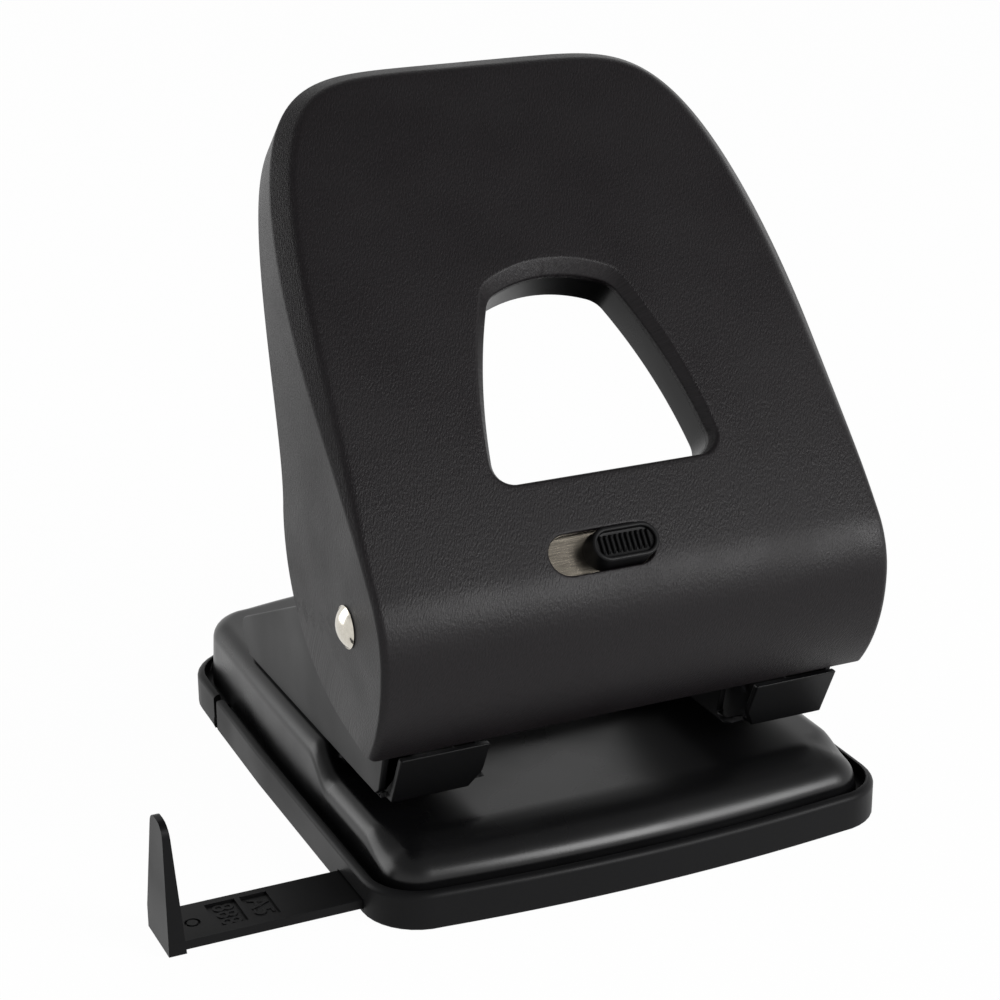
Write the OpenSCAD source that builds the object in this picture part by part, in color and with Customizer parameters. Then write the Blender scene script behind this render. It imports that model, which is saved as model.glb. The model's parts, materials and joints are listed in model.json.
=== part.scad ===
// Two-hole metal desk punch with a hand window, a slide lock and a paper guide.
// Sizes are in mm. X is the width, Y goes away from the user, Z is up.
// The desk is z = 0 and the punch is symmetric about x = 0, apart from the lock and the guide.

/* [Punching] */
// Distance between the two hole centres
hole_pitch = 80; // [70:0.5:120]
// Diameter of a hole
hole_d = 5.5; // [4:0.1:8]
// Distance from the paper stop to the hole centres
hole_margin = 12; // [8:0.5:16]
// Height of the gap that takes the paper
throat_h = 5.5; // [4.5:0.1:8]
// How far the handle turns down, in degrees
swing = 30; // [15:1:33]

/* [Base] */
// How far the base's flank stands inside the handle's side
base_inset = 1.5; // [1:0.1:4]
// Front edge of the base at its corners
base_front = -59.1; // [-70:0.1:-50]
// Rear edge of the base at its corners
base_rear = 63.4; // [50:0.1:80]
// Forward bow of the base's front edge
base_bow = 2.5; // [0:0.1:8]
// Backward bow of the base's rear edge
rear_bow = 5; // [0:0.1:8]
// Radius of the front corners
front_corner_r = 8.6; // [6:0.1:25]
// Radius of the rear corners
rear_corner_r = 11; // [6:0.1:30]
// How far each flank draws in towards the rear
side_taper = 1.3; // [0:0.1:4]
// Where the flanks start to draw in
taper_y = -10; // [-10:0.5:20]
// Height of the paper table
table_z = 14.5; // [12:0.1:25]
// Place of the paper stop
stop_y = -15; // [-30:0.5:0]
// Radius of the drawn shoulder round the table
table_r = 7; // [1.7:0.1:8]
// Radius of the drawn shoulder round the platform
shoulder_r = 4; // [1.7:0.1:6]
// Radius at the top of the paper stop
stop_r = 1.6; // [0.4:0.1:3]
// Radius of the platform's front corners in plan
deck_corner_r = 5; // [3:0.5:12]
// Thickness of the base sheet
base_t = 1.5; // [1:0.1:2.5]

/* [Tray] */
// Gap from the base's flank to the tray's rim
rim_gap = 1.9; // [0.5:0.1:3]
// Thickness of the tray's rim
rim_t = 1.7; // [1:0.1:3]
// Height of the tray's rim
rim_h = 8; // [6:0.1:12]
// Thickness of the tray's floor
floor_t = 1; // [0.8:0.1:2]
// Height of the ledge that carries the base
ledge_z = 5.2; // [4.8:0.1:7]
// Width of that ledge, measured inwards from the base's flank
ledge_w = 2.6; // [1.6:0.1:5]
// Place of the tray's hinge line
hinge_y = 41; // [20:0.5:55]
// Radius of the tray's hinge barrel
hinge_r = 1.5; // [1.2:0.1:2]
// Gap between the hinge line and the tray's rim on either side of it
hinge_gap = 1; // [0.9:0.1:1.4]

/* [Paper guide] */
// Left end of the pulled-out guide
guide_left = -98.2; // [-110:0.1:-90]
// Length of the guide
guide_len = 108; // [90:1:112]
// Depth of the guide bar
guide_w = 13.2; // [8:0.1:20]
// Front edge of the guide bar
guide_front = -50.9; // [-56:0.1:-45]
// Thickness of the guide bar
guide_t = 1.9; // [1.5:0.1:3.2]
// Height of the upright stop
guide_stop_z = 28.3; // [15:0.1:40]
// Height of the stop's foot above the desk
guide_low = 0.3; // [0.2:0.1:1]
// Thickness of the stop at its foot
guide_foot = 3.6; // [2:0.1:6]
// Thickness of the stop at its top
guide_tip = 1.3; // [1:0.1:4]
// Depth of the stop at its top
guide_top_w = 8; // [4:0.1:12]
// Play of the guide in its channel
guide_play = 0.3; // [0.2:0.05:0.6]

/* [Brackets] */
// Gap between the handle's flange and a bracket
bracket_gap = 3.6; // [2.5:0.1:5]
// Distance from a hole's centre to the inner face of its bracket
bracket_side = 12.15; // [9:0.05:16]
// Thickness of the bracket sheet
bracket_t = 1.5; // [1:0.1:2.5]
// Rear end of a bracket
bracket_rear = 37; // [25:0.5:50]
// Radius of the boss round the pivot
boss_r = 6.1; // [5:0.1:8]
// Radius of the nose at the rear end of the outer wall
nose_r = 3.8; // [2:0.1:6]
// How far a lip's ends stand inside its bracket
lip_inset = [2.55, 1.8];
// Top edge of the lip's front face, as y and z
lip_top = [-51.3, 31.7];
// Foot of the lip's front face
lip_foot_y = -45.6; // [-50:0.1:-40]
// Height of the strap that guides the pins
strap_z = 42; // [36:0.5:44]
// Half depth of that strap
strap_w = 7; // [5:0.5:10]
// Places of the bracket rivets along y
rivet_y = [3, 22];
// Diameter of a rivet
rivet_d = 5; // [3:0.1:7]

/* [Pivot] */
// Pivot axis, along y
pivot_y = -41; // [-45:0.1:-35]
// Pivot axis, height
pivot_z = 57.5; // [52:0.1:64]
// Diameter of a pivot pin
pivot_d = 6; // [4:0.1:8]
// Diameter of the pin's domed head
pivot_head_d = 8.7; // [8:0.1:14]
// Height of the dome
pivot_head_h = 1.9; // [1:0.1:3]
// Diameter of the washers
washer_d = 12; // [9:0.5:16]

/* [Handle] */
// Distance from a hole's centre to the handle's side
handle_side = 16.2; // [14:0.1:24]
// Thickness of the handle sheet
handle_t = 1.2; // [0.8:0.1:2]
// Front of the handle, along y
front_y = -59.2; // [-65:0.1:-55]
// Height of the handle's foremost line
front_z = 55.5; // [50:0.1:60]
// Radius of the bend under the panel
bend_r = 20; // [12:0.5:30]
// Radius of the skirt under that bend
skirt_r = 36; // [25:0.5:60]
// Sweep of the skirt, in degrees
skirt_sweep = 39; // [20:1:45]
// Tilt of the line where flange and bevel meet, in degrees
fold_tilt = 45.6; // [40:0.1:55]
// Height that the panel stands proud of that line, which is the bevel's height too
bevel = 3.8; // [1:0.1:5]
// How much steeper the panel starts above the bend, in degrees
panel_sweep = 5.8; // [4:0.1:10]
// Length of the handle above the bend
handle_len = 114.2; // [90:0.1:130]
// Part of that length that narrows to the rounded top
crown_len = 73.8; // [40:0.1:90]
// Squareness of the rounded top
crown_power = 5.85; // [2:0.05:12]
// Depth of the flange near the top
flange_d = 10.2; // [4:0.1:15]
// Rear edge of the flange beside the pivot
flange_rear = -6.9; // [-20:0.1:0]
// Where the flange's hollow rear edge ends, up the handle
flange_len = 92; // [70:1:100]

/* [Window] */
// Bottom edge of the window, up the panel
window_u0 = 17.2; // [16.5:0.1:25]
// Top edge of the window, up the panel
window_u1 = 64.4; // [45:0.1:90]
// Half width of the window at its foot
window_half_w = 25.4; // [15:0.1:40]
// Radius of the lower corners
window_r0 = 4.7; // [3.5:0.1:12]
// Radius of the upper corners
window_r1 = 5.5; // [3:0.1:12]
// Half distance of the upper corner centres
window_top_x = 11; // [5:0.1:15]
// Radius of the bowed sides
window_rs = 125; // [80:1:400]
// Radius of the bowed top
window_rt = 29.3; // [22:0.1:80]
// Width of the bevel at the sides of the window
window_side = 1.4; // [0.5:0.1:3]
// Width of the bevel at the top of the window
window_top = 3.1; // [1:0.1:5]
// Depth of the bevel
window_drop = 2; // [1:0.1:4]
// Depth of the liner's rear edge below the panel
liner_d = 10.8; // [6:0.1:16]
// Wall of the liner
liner_t = 1.3; // [1:0.1:2]

/* [Lock] */
// Left end of the lock slot
slot_x0 = -18.6; // [-22:0.1:-10]
// Length of the lock slot
slot_len = 23; // [18:0.1:26]
// Height of the lock slot
slot_h = 8.5; // [6:0.1:9]
// Middle of the slot, up the panel
slot_u = 2.3; // [1.5:0.1:3]
// Length of the button
button_len = 14.4; // [10:0.1:16]
// Height of the button
button_h = 7; // [4:0.1:8]
// How far the button stands proud
button_out = 3; // [1.5:0.1:5]
// Number of ribs on the button
button_ribs = 10; // [6:1:14]
// Width of a rib
rib_w = 0.55; // [0.3:0.05:0.9]
// Thickness of the latch plate
latch_t = 1; // [0.6:0.1:1.2]
// Depth of the latch plate below the panel's front face
latch_n = 2.3; // [2:0.1:3]
// Thickness of the keeper strip
keeper_t = 1.2; // [0.8:0.1:2]
// Width of the catch on the left bracket
catch_w = 2.2; // [1.5:0.1:2.6]

/* [Press bar and pins] */
// Thickness of the press bar
bar_t = 2.2; // [1.5:0.1:3]
// Thickness of a leg
leg_t = 4; // [3:0.5:8]
// Radius of the rounded foot that pushes a pin
foot_r = 4; // [2:0.1:6]
// Top of a pin's head
pin_top = 61.7; // [58:0.1:66]
// Height of the head
pin_head_h = 3.7; // [2:0.1:6]
// Diameter of the head
pin_head_d = 10; // [8:0.1:12]
// Tip of a raised pin above the throat's roof
pin_rest = 0.6; // [0.3:0.1:1.2]
// Depth of the notch in the cutting edge
pin_notch = 0.9; // [0.3:0.1:2]
// Thickness of a retaining clip
clip_t = 1; // [0.6:0.1:1.4]
// Diameter of a retaining clip
clip_d = 10; // [8:0.5:14]
// Wire of the return spring
wire_d = 0.9; // [0.6:0.05:1.2]
// Middle radius of the spring
coil_r = 4; // [3.7:0.1:4.5]
// Turns of the spring
coil_turns = 5; // [3:1:6]

/* [Clearances] */
// Radial clearance of a running fit
run_fit = 0.05; // [0.02:0.01:0.1]
// Face clearance beside a turning part
side_gap = 0.1; // [0.05:0.01:0.3]
// Gap between the press bar's foot and a pin's head
press_gap = 0.3; // [0.3:0.05:0.6]
// Gap of a sliding part to the curved inside of the handle
slide_gap = 0.4; // [0.3:0.05:0.6]

/* [Hidden] */
$fn = 64;
eps = 0.02;
hole_x = hole_pitch / 2;
hole_y = stop_y - hole_margin;
handle_half_w = hole_x + handle_side;
flange_in = handle_half_w - handle_t;
base_half_w = handle_half_w - base_inset;
bracket_out = flange_in - bracket_gap;
bracket_in = hole_x - bracket_side;
lip_x = [bracket_in + lip_inset[0], bracket_out - lip_inset[1]];
deck_z = table_z + throat_h;
web_top = deck_z + bracket_t;
bend_c = [front_y + bend_r, front_z];
skirt_c = [front_y + skirt_r, front_z];
panel_tilt = fold_tilt + panel_sweep;
panel_r = bend_r + bevel / (1 - cos(panel_sweep));
panel_c = bend_c - (panel_r - bend_r) * [-sin(panel_tilt), cos(panel_tilt)];
window_tilt = fold_tilt + 0.465 * panel_sweep;
window_n = window_face(window_u0);
panel_in = bend_r - handle_t;
pivot_c = [pivot_y, pivot_z];
pivot_u = (pivot_c - bend_c) * [cos(panel_tilt), sin(panel_tilt)];
foot_c = [hole_y, pin_top + press_gap + foot_r];
foot_len = norm(foot_c - pivot_c);
foot_a = atan2(foot_c[1] - pivot_z, foot_c[0] - pivot_y);
stroke = foot_len * (sin(foot_a) - sin(foot_a - swing));
pin_low = deck_z + pin_rest;
head_low = pin_top - pin_head_h;
rim_inset = -(rim_gap + rim_t);
guide_z0 = floor_t + 0.2;
guide_rear = guide_front + guide_w;
bar_out = panel_in - 0.2;
bar_in = bar_out - bar_t;
latch_out = bend_r - latch_n;
latch_in = latch_out - latch_t;
keeper_out = bar_in;
tongue_n = latch_in - 4.4;
latch_left = -bracket_in + 1.35;
catch_a = 90 + panel_tilt - swing / 2;
bar_u = [8, window_u0 - 1.4];
button_x1 = slot_x0 + slot_len - guide_play;
coil_low = strap_z + bracket_t + run_fit;
coil_top = head_low - run_fit;

// Height of the panel's front face over the bend's centre, at u up the window
function window_face(u) = let (a = panel_tilt - window_tilt, k = panel_r - bend_r)
    sqrt(panel_r * panel_r - pow(u - k * sin(a), 2)) - k * cos(a);

// Points of an arc about c from angle a0 to a1 in n steps
function arc(c, r, a0, a1, n) =
    [for (i = [0:n]) c + r * [cos(a0 + (a1 - a0) * i / n), sin(a0 + (a1 - a0) * i / n)]];

// The same points with x turned round, in reverse order, to close a symmetric outline
function mirrored(p) = [for (i = [len(p) - 1:-1:0]) [-p[i][0], p[i][1]]];

// Point of a cubic curve
function bezier(a, b, c, d, t) =
    pow(1 - t, 3) * a + 3 * t * pow(1 - t, 2) * b + 3 * t * t * (1 - t) * c + pow(t, 3) * d;

// Right half of the base's plan outline, drawn inwards by d, with bowed front and rear edges
function base_half(d, front, bow, corner) = let (
        w = base_half_w - d,
        f = front + d,
        r = base_rear - d,
        c = [base_half_w - corner, f + corner - d],
        e = [base_half_w - side_taper - rear_corner_r, r - rear_corner_r + d])
    concat(
        [for (i = [0:7]) [c[0] * i / 7, f - bow * (1 - pow(i / 7, 2))]],
        arc(c, corner - d, -80, 0, 8),
        [for (i = [1:5]) [w - side_taper * pow(i / 6, 2), taper_y + (e[1] - taper_y) * i / 6]],
        arc(e, rear_corner_r - d, 0, 90 - atan(2 * rear_bow / e[0]), 8),
        [for (i = [8:-1:0]) [e[0] * i / 8, r + rear_bow * (1 - pow(i / 8, 2))]]);
function closed(h) = concat(h, mirrored([for (i = [1:len(h) - 2]) h[i]]));
function base_plan(d) = closed(base_half(d, base_front, base_bow, front_corner_r));
// Plan of the platform, drawn inwards by d at the paper stop and by e elsewhere
function deck_plan(d, e) = closed(base_half(e, stop_y + d - e, 0, deck_corner_r));

// Inset and drop of step i of n on a drawn shoulder of radius r
function roll(r, i, n) = r * [1 - cos(90 * i / n), 1 - sin(90 * i / n)];

// Side view of the platform's front edge
function stop_side(d) = let (q = stop_r, z = deck_z - d) concat([[100, 0], [100, z]],
    arc([stop_y + d + q, z - q], q, 90, 180, 4), [[stop_y + d, 0]]);

// Angle of a vector
function angle(v) = atan2(v[1], v[0]);

// Right half of the window's outline, grown outwards by g: lower corner, side, upper corner, top.
// It is the bevel's outer edge at k = 0 and its inner edge at k = 1.
function window_half(k, g) = let (
        x = window_top_x - window_side * k,
        a = [window_half_w - window_r0 - window_side * k, window_u0 + window_r0],
        t = [0, window_u1 - window_top * k - window_rt],
        b = t + [x, sqrt(pow(window_rt - window_r1, 2) - x * x)],
        l = norm(b - a),
        e = (b - a) / l,
        ra = window_rs - window_r0,
        rb = window_rs - window_r1,
        s = (l * l + ra * ra - rb * rb) / (2 * l),
        c = a + s * e - sqrt(ra * ra - s * s) * [e[1], -e[0]])
    concat(
        arc(a, window_r0 + g, -90, angle(a - c), 7),
        rest(arc(c, window_rs + g, angle(a - c), angle(b - c), 8)),
        rest(arc(b, window_r1 + g, angle(b - c), angle(b - t), 6)),
        rest(arc(t, window_rt + g, angle(b - t), 90, 5)));
function window_outline(k, g = 0) = let (h = window_half(k, g))
    concat(h, mirrored([for (i = [0:len(h) - 2]) h[i]]));

// Stadium outline
function stadium(x0, u, l, h) = concat(
    arc([x0 + l - h / 2, u], h / 2, -90, 90, 12), arc([x0 + h / 2, u], h / 2, 90, 270, 12));

// Outline of the handle seen square to the panel, drawn inwards by d
function handle_half(d) = concat([[handle_half_w - d, -75]],
    [for (i = [0:24]) let (a = 90 * i / 24)
        [(handle_half_w - d) * pow(max(cos(a), 0), 2 / crown_power),
            handle_len - crown_len + (crown_len - d) * sin(a)]]);
function handle_plan(d) = let (h = handle_half(d))
    concat(h, mirrored([for (i = [0:len(h) - 2]) h[i]]));

// Points without the first, which the points before them end on
function rest(p) = [for (i = [1:len(p) - 1]) p[i]];

// Front line of the handle in the side view, drawn inwards by d, from the top down
function front_line(d) = concat(
    [bend_c + (bend_r + bevel - d) * fold_up + (handle_len + 20) * fold_dir],
    arc(panel_c, panel_r - d, 90 + fold_tilt, 90 + panel_tilt, 8),
    rest(arc(bend_c, bend_r - d, 90 + panel_tilt, 180, 8)),
    rest(arc(skirt_c, skirt_r - d, 180, 180 + skirt_sweep, 8)));

// Side view of the flange
flange_low = skirt_c + skirt_r * [cos(180 + skirt_sweep), sin(180 + skirt_sweep)];
fold_dir = [cos(fold_tilt), sin(fold_tilt)];
fold_up = [-sin(fold_tilt), cos(fold_tilt)];
// Ends of the hollow rear edge, which runs into the straight edge under the panel
flange_knee = [flange_rear, pivot_z + 12];
flange_end = bend_c + (bend_r - flange_d) * fold_up + flange_len * fold_dir;
flange_side = concat(front_line(0),
    [flange_low + [5.3, 0.85]],
    [for (i = [0:8]) bezier(flange_low + [13.2, 2.45], flange_low + [28.9, 5.6],
        flange_knee - [0, 20], flange_knee, i / 8)],
    [for (i = [1:12]) bezier(flange_knee, flange_knee + [-2.4, 18],
        flange_end - 18 * fold_dir, flange_end, i / 12)],
    [flange_end + (handle_len + 20 - flange_len) * fold_dir]);
// Everything behind the front line, drawn inwards by d
function behind(d) = concat(front_line(d), [flange_low + [d, -20], [80, 0], [140, 150]]);

// A shape drawn in y and z, from x0 to x1
module across(p, x0, x1) {
    translate([x0, 0, 0])
        rotate([90, 0, 90])
            linear_extrude(x1 - x0)
                polygon(p);
}

// A shape drawn in x and z, from y0 to y1
module along(p, y0, y1) {
    translate([0, y1, 0])
        rotate([90, 0, 0])
            linear_extrude(y1 - y0)
                polygon(p);
}

// A shape drawn in x and y, from z0 to z1
module upright(p, z0, z1) {
    translate([0, 0, z0])
        linear_extrude(z1 - z0)
            polygon(p);
}

// A box from corner a to corner b
module box(a, b) {
    translate(a)
        cube(b - a);
}

// A cylinder along x about the point c in y and z
module rod_x(c, r, x0, x1) {
    translate([x0, c[0], c[1]])
        rotate([0, 90, 0])
            cylinder(r = r, h = x1 - x0);
}

// A cylinder along z
module rod_z(x, y, r, z0, z1) {
    translate([x, y, z0])
        cylinder(r = r, h = z1 - z0);
}

// Puts its children on the panel: x across, y up the panel, z out of its front face
module on_panel(tilt = panel_tilt) {
    translate([0, bend_c[0], bend_c[1]])
        rotate([tilt, 0, 0])
            children();
}

// Right-hand and left-hand copies
module left_hand() {
    mirror([1, 0, 0])
        children();
}

module base_form(d) {
    low = ledge_z - d * 2;
    intersection() {
        hull()
            for (i = [0:4]) let (q = roll(shoulder_r - d, i, 4))
                upright(deck_plan(d, d + q[0]), low, deck_z - d - q[1]);
        across(stop_side(d), -100, 100);
    }
    intersection() {
        hull()
            for (i = [0:5]) let (q = roll(table_r - d, i, 5))
                upright(base_plan(d + q[0]), low, table_z - d - q[1]);
        box([-100, -100, -10], [100, 10, 50]);
    }
}

module base_plate() {
    color("#1d1e20")
        difference() {
            base_form(0);
            base_form(base_t);
            for (s = [-1, 1]) {
                rod_z(s * hole_x, hole_y, hole_d / 2 + run_fit, ledge_z, deck_z);
                for (y = rivet_y)
                    rod_z(s * hole_x, y, rivet_d / 2 + run_fit, ledge_z, deck_z + 1);
            }
        }
}

// Tray ring and floor, before it is split at the hinge line
module tray_form() {
    difference() {
        upright(base_plan(rim_inset), 0, rim_h);
        upright(base_plan(-rim_gap), ledge_z, rim_h + 1);
        upright(base_plan(ledge_w), floor_t, rim_h + 1);
    }
}

module chip_tray() {
    y0 = guide_front - guide_play;
    y1 = guide_rear + guide_play;
    color("#222325")
        difference() {
            union() {
                intersection() {
                    tray_form();
                    box([-100, -100, -1], [100, hinge_y - hinge_gap, 20]);
                }
                rod_x([hinge_y, hinge_r], hinge_r, -base_half_w, base_half_w);
                box([1 - base_half_w, y0 - 1.3, floor_t - eps], [base_half_w - 6.7, y0, ledge_z - 0.3]);
                box([1 - base_half_w, y1, floor_t - eps], [base_half_w - 6.7, y1 + 1.3, ledge_z - 0.3]);
                box([6.7 - base_half_w, y0 - eps, guide_z0 + guide_t + guide_play],
                    [13.7 - base_half_w, y1 + eps, ledge_z - 0.3]);
            }
            box([-100, y0, floor_t], [-base_half_w + 4, y1, guide_z0 + guide_t + guide_play]);
        }
}

module tray_rear() {
    color("#222325")
        difference() {
            intersection() {
                tray_form();
                box([-100, hinge_y, -1], [100, 100, 20]);
            }
            box([-100, hinge_y - 1, hinge_r], [100, hinge_y + hinge_gap, 20]);
            rod_x([hinge_y, hinge_r], hinge_r + run_fit, -100, 100);
        }
}

module paper_guide() {
    x1 = guide_left + guide_len;
    top = guide_z0 + guide_t;
    ry = guide_rear - guide_w / 2 - 0.5;
    color("#1b1c1e")
        difference() {
            union() {
                box([guide_left + 1, guide_front, guide_z0], [x1, guide_rear, top]);
                box([x1 - 3, guide_front + 3, guide_z0], [x1, guide_rear - 3, ledge_z - 0.4]);
                intersection() {
                    across(concat([[guide_front, guide_low]],
                        arc([guide_front + 3.2, guide_stop_z - 3], 3, 180, 90, 5),
                        arc([guide_front + guide_top_w - 3, guide_stop_z - 3], 3, 90, 20, 5),
                        [[guide_rear, top + 2], [guide_rear, guide_low]]), -110, 0);
                    along([[guide_left, guide_low], [guide_left, guide_stop_z + 1],
                        [guide_left + guide_tip, guide_stop_z + 1],
                        [guide_left + guide_foot, guide_low]], -100, 0);
                }
            }
            for (c = [[10.9, 6.2], [18.2, 5.6]])
                box([guide_left + c[0], guide_front + 2.5, top - 0.5],
                    [guide_left + c[0] + c[1], guide_rear - 1.7, top + 1]);
            difference() {
                rod_z(guide_left + 6.8, ry, 1.6, top - 0.4, top + 1);
                rod_z(guide_left + 6.8, ry, 1.1, top - 1, top + 2);
            }
        }
}

// Outer wall of a bracket, seen from the side
function outer_wall() = let (
        n = [bracket_rear - nose_r, web_top + nose_r + 0.7],
        s = atan2(n[1] - pivot_z, n[0] - pivot_y),
        q = s + acos((boss_r - nose_r) / norm(n - pivot_c)))
    concat([[lip_foot_y + 2, deck_z + 2.3], [lip_foot_y - 0.8, deck_z + 10.4]],
        arc(pivot_c, boss_r, 180, q, 10), arc(n, nose_r, q, -90, 10),
        [[bracket_rear - nose_r, deck_z + 0.7], [lip_foot_y + 4, deck_z + 0.7]]);

// Inner wall of a bracket
inner_wall = [[pivot_y + 2, deck_z], [pivot_y - 5.6, pivot_z - 4], [pivot_y + 4.5, pivot_z + 3.4],
    [pivot_y + 10, pivot_z - 9], [bracket_rear - 22, web_top + 6], [bracket_rear - 17, deck_z]];

module bracket() {
    lean = (lip_top[0] - lip_foot_y) / (lip_top[1] - deck_z);
    difference() {
        union() {
            box([bracket_in, lip_foot_y + 2.5, deck_z], [bracket_out - 0.7, bracket_rear - 4, web_top]);
            across(outer_wall(), bracket_out - bracket_t, bracket_out);
            across(inner_wall, bracket_in, bracket_in + bracket_t);
            rod_x(pivot_c, boss_r, bracket_in, bracket_in + bracket_t);
            intersection() {
                across([[lip_foot_y, deck_z], lip_top, lip_top + [1.68, 0],
                    [lip_foot_y + 1.68 - lean * -bracket_t, web_top], [lip_foot_y + 3, web_top],
                    [lip_foot_y + 3, deck_z]], lip_x[0], lip_x[1]);
                along([[lip_x[0] + 3, deck_z - 1], [lip_x[0], deck_z + 4], [lip_x[0], 40],
                    [lip_x[1], 40], [lip_x[1], deck_z - 1]], -60, -30);
            }
        }
        rod_x(pivot_c, pivot_d / 2 + run_fit, 0, 100);
        rod_z(hole_x, hole_y, hole_d / 2 + run_fit, 0, 40);
        for (y = rivet_y)
            rod_z(hole_x, y, rivet_d / 2 + run_fit, 0, 40);
    }
}

module bracket_right() {
    color("#232426")
        bracket();
}

module bracket_left() {
    color("#232426") {
        left_hand()
            bracket();
        translate([-bracket_in - bracket_t, pivot_y, pivot_z])
            rotate([90, 0, 90])
                linear_extrude(bracket_t)
                    rotate(catch_a)
                        translate([boss_r - 1.2, -catch_w / 2])
                            square([13.4 - boss_r + 1.2, catch_w]);
    }
}

module bracket_rivets() {
    color("#2a2b2d")
        for (s = [-1, 1], y = rivet_y) {
            rod_z(s * hole_x, y, rivet_d / 2, deck_z - base_t - 1.2, web_top + 0.5);
            rod_z(s * hole_x, y, rivet_d / 2 + 1.6, deck_z - base_t - 1.2, deck_z - base_t);
            difference() {
                translate([s * hole_x, y, web_top - 3.4])
                    sphere(r = 5.2);
                box([s * hole_x - 9, y - 9, web_top - 12], [s * hole_x + 9, y + 9, web_top]);
            }
        }
}

module guide_strap() {
    x0 = bracket_in + bracket_t;
    x1 = bracket_out - bracket_t;
    difference() {
        union() {
            box([x0, hole_y - strap_w, strap_z], [x1, hole_y + strap_w, strap_z + bracket_t]);
            box([x0, hole_y - strap_w, strap_z - 6], [x0 + bracket_t, hole_y + strap_w, strap_z + eps]);
            box([x1 - bracket_t, hole_y - strap_w, strap_z - 6], [x1, hole_y + strap_w, strap_z + eps]);
        }
        rod_z(hole_x, hole_y, hole_d / 2 + run_fit, 0, 60);
    }
}

module guide_strap_right() {
    color("#8d9094")
        guide_strap();
}

module guide_strap_left() {
    color("#8d9094")
        left_hand()
            guide_strap();
}

module pivot_pin() {
    x = handle_half_w + side_gap;
    dome = (pow(pivot_head_d / 2, 2) + pow(pivot_head_h, 2)) / (2 * pivot_head_h);
    rod_x(pivot_c, pivot_d / 2, bracket_in - 0.5, x + eps);
    rod_x(pivot_c, pivot_d / 2 + 1.2, bracket_in - 1.3, bracket_in);
    difference() {
        translate([x + pivot_head_h - dome, pivot_y, pivot_z])
            rotate([0, 90, 0])
                sphere(r = dome);
        box([x - 30, pivot_y - 20, pivot_z - 20], [x, pivot_y + 20, pivot_z + 20]);
    }
}

module pivot_pin_right() {
    color("#c9ccd0")
        pivot_pin();
}

module pivot_pin_left() {
    color("#c9ccd0")
        left_hand()
            pivot_pin();
}

module pivot_washers() {
    color("#d8d6cd")
        for (s = [0, 1])
            mirror([s, 0, 0])
                difference() {
                    rod_x(pivot_c, washer_d / 2, bracket_out, flange_in - side_gap);
                    rod_x(pivot_c, pivot_d / 2 + run_fit, 0, 100);
                }
}

// Body under the handle's outline, with its bevel, drawn inwards by d
module handle_form(d) {
    k = d * (sqrt(2) - 1);
    on_panel(fold_tilt)
        hull() {
            upright(handle_plan(d), -60, bend_r - k);
            upright(handle_plan(d + 2 * bevel), bend_r + 2 * bevel - k - eps, bend_r + 2 * bevel - k);
        }
}

module handle_shell() {
    bevel_low = window_n - window_drop;
    bevel_high = window_n + window_drop + 0.4;
    color("#1a1b1d")
        difference() {
            union() {
                difference() {
                    intersection() {
                        across(flange_side, -80, 80);
                        handle_form(0);
                    }
                    intersection() {
                        across(behind(handle_t), -80, 80);
                        handle_form(handle_t);
                    }
                }
                intersection() {
                    across(behind(0.3), -80, 80);
                    on_panel(window_tilt)
                        upright(window_outline(0, 1), window_n - window_drop - handle_t, bend_r + 5);
                }
            }
            on_panel(window_tilt) {
                upright(window_outline(1), 0, bend_r + 9);
                hull() {
                    upright(window_outline(1), bevel_low - eps, bevel_low);
                    upright(window_outline(-1), bevel_high, bevel_high + eps);
                }
            }
            on_panel()
                upright(stadium(slot_x0, slot_u, slot_len, slot_h), bend_r - 6, bend_r + 9);
            rod_x(pivot_c, pivot_d / 2 + run_fit, -100, 100);
        }
}

module window_liner() {
    n1 = window_n - window_drop - handle_t - run_fit;
    n0 = window_n - liner_d;
    color("#101113")
        on_panel(window_tilt)
            difference() {
                upright(window_outline(1, liner_t), n0, n1);
                upright(window_outline(1), n0 - 1, n1 + 1);
            }
}

module press_bar() {
    // Middle of the rounded foot, seen on the panel
    v = foot_c - bend_c;
    f = [v * [cos(panel_tilt), sin(panel_tilt)], v * [-sin(panel_tilt), cos(panel_tilt)]];
    color("#85888c")
        on_panel() {
            box([-hole_x - 6, bar_u[0], bar_in], [hole_x + 6, bar_u[1], bar_out]);
            for (s = [-1, 1])
                across(concat([[bar_u[0] + 1, bar_in + 1], [bar_u[0] + 1, bar_in - 4]],
                    arc(f, foot_r, 180, 360, 12), [[f[0] + foot_r, bar_in - 3],
                    [bar_u[1], bar_in], [bar_u[1], bar_in + 1]]),
                    s * hole_x - leg_t / 2, s * hole_x + leg_t / 2);
        }
}

module lock_keeper() {
    color("#a9acb0")
        on_panel()
            box([-12, slot_u - 6.5, keeper_out - keeper_t], [6, bar_u[1] - 1, keeper_out]);
}

module lock_plate() {
    color("#c3c7cb")
        on_panel() {
            box([latch_left, slot_u - 5.6, latch_in], [9, slot_u + 4.7, latch_out]);
            box([latch_left, pivot_u - 0.75, tongue_n], [-17, pivot_u + 0.75, latch_in + eps]);
        }
}

module lock_button() {
    x0 = button_x1 - button_len;
    n1 = bend_r + button_out;
    pitch = (button_len - 3) / button_ribs;
    color("#151618")
        on_panel() {
            difference() {
                upright(stadium(x0, slot_u, button_len, button_h), latch_out, n1);
                upright(stadium(x0 + 0.9, slot_u, button_len - 1.8, button_h - 1.8), n1 - 0.8, n1 + 1);
            }
            for (i = [0:button_ribs - 1])
                box([x0 + 1.5 + (i + 0.5) * pitch - rib_w / 2, slot_u - button_h / 2 + 1.6, n1 - 0.9],
                    [x0 + 1.5 + (i + 0.5) * pitch + rib_w / 2, slot_u + button_h / 2 - 1.6, n1 - 0.1]);
        }
}

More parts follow.
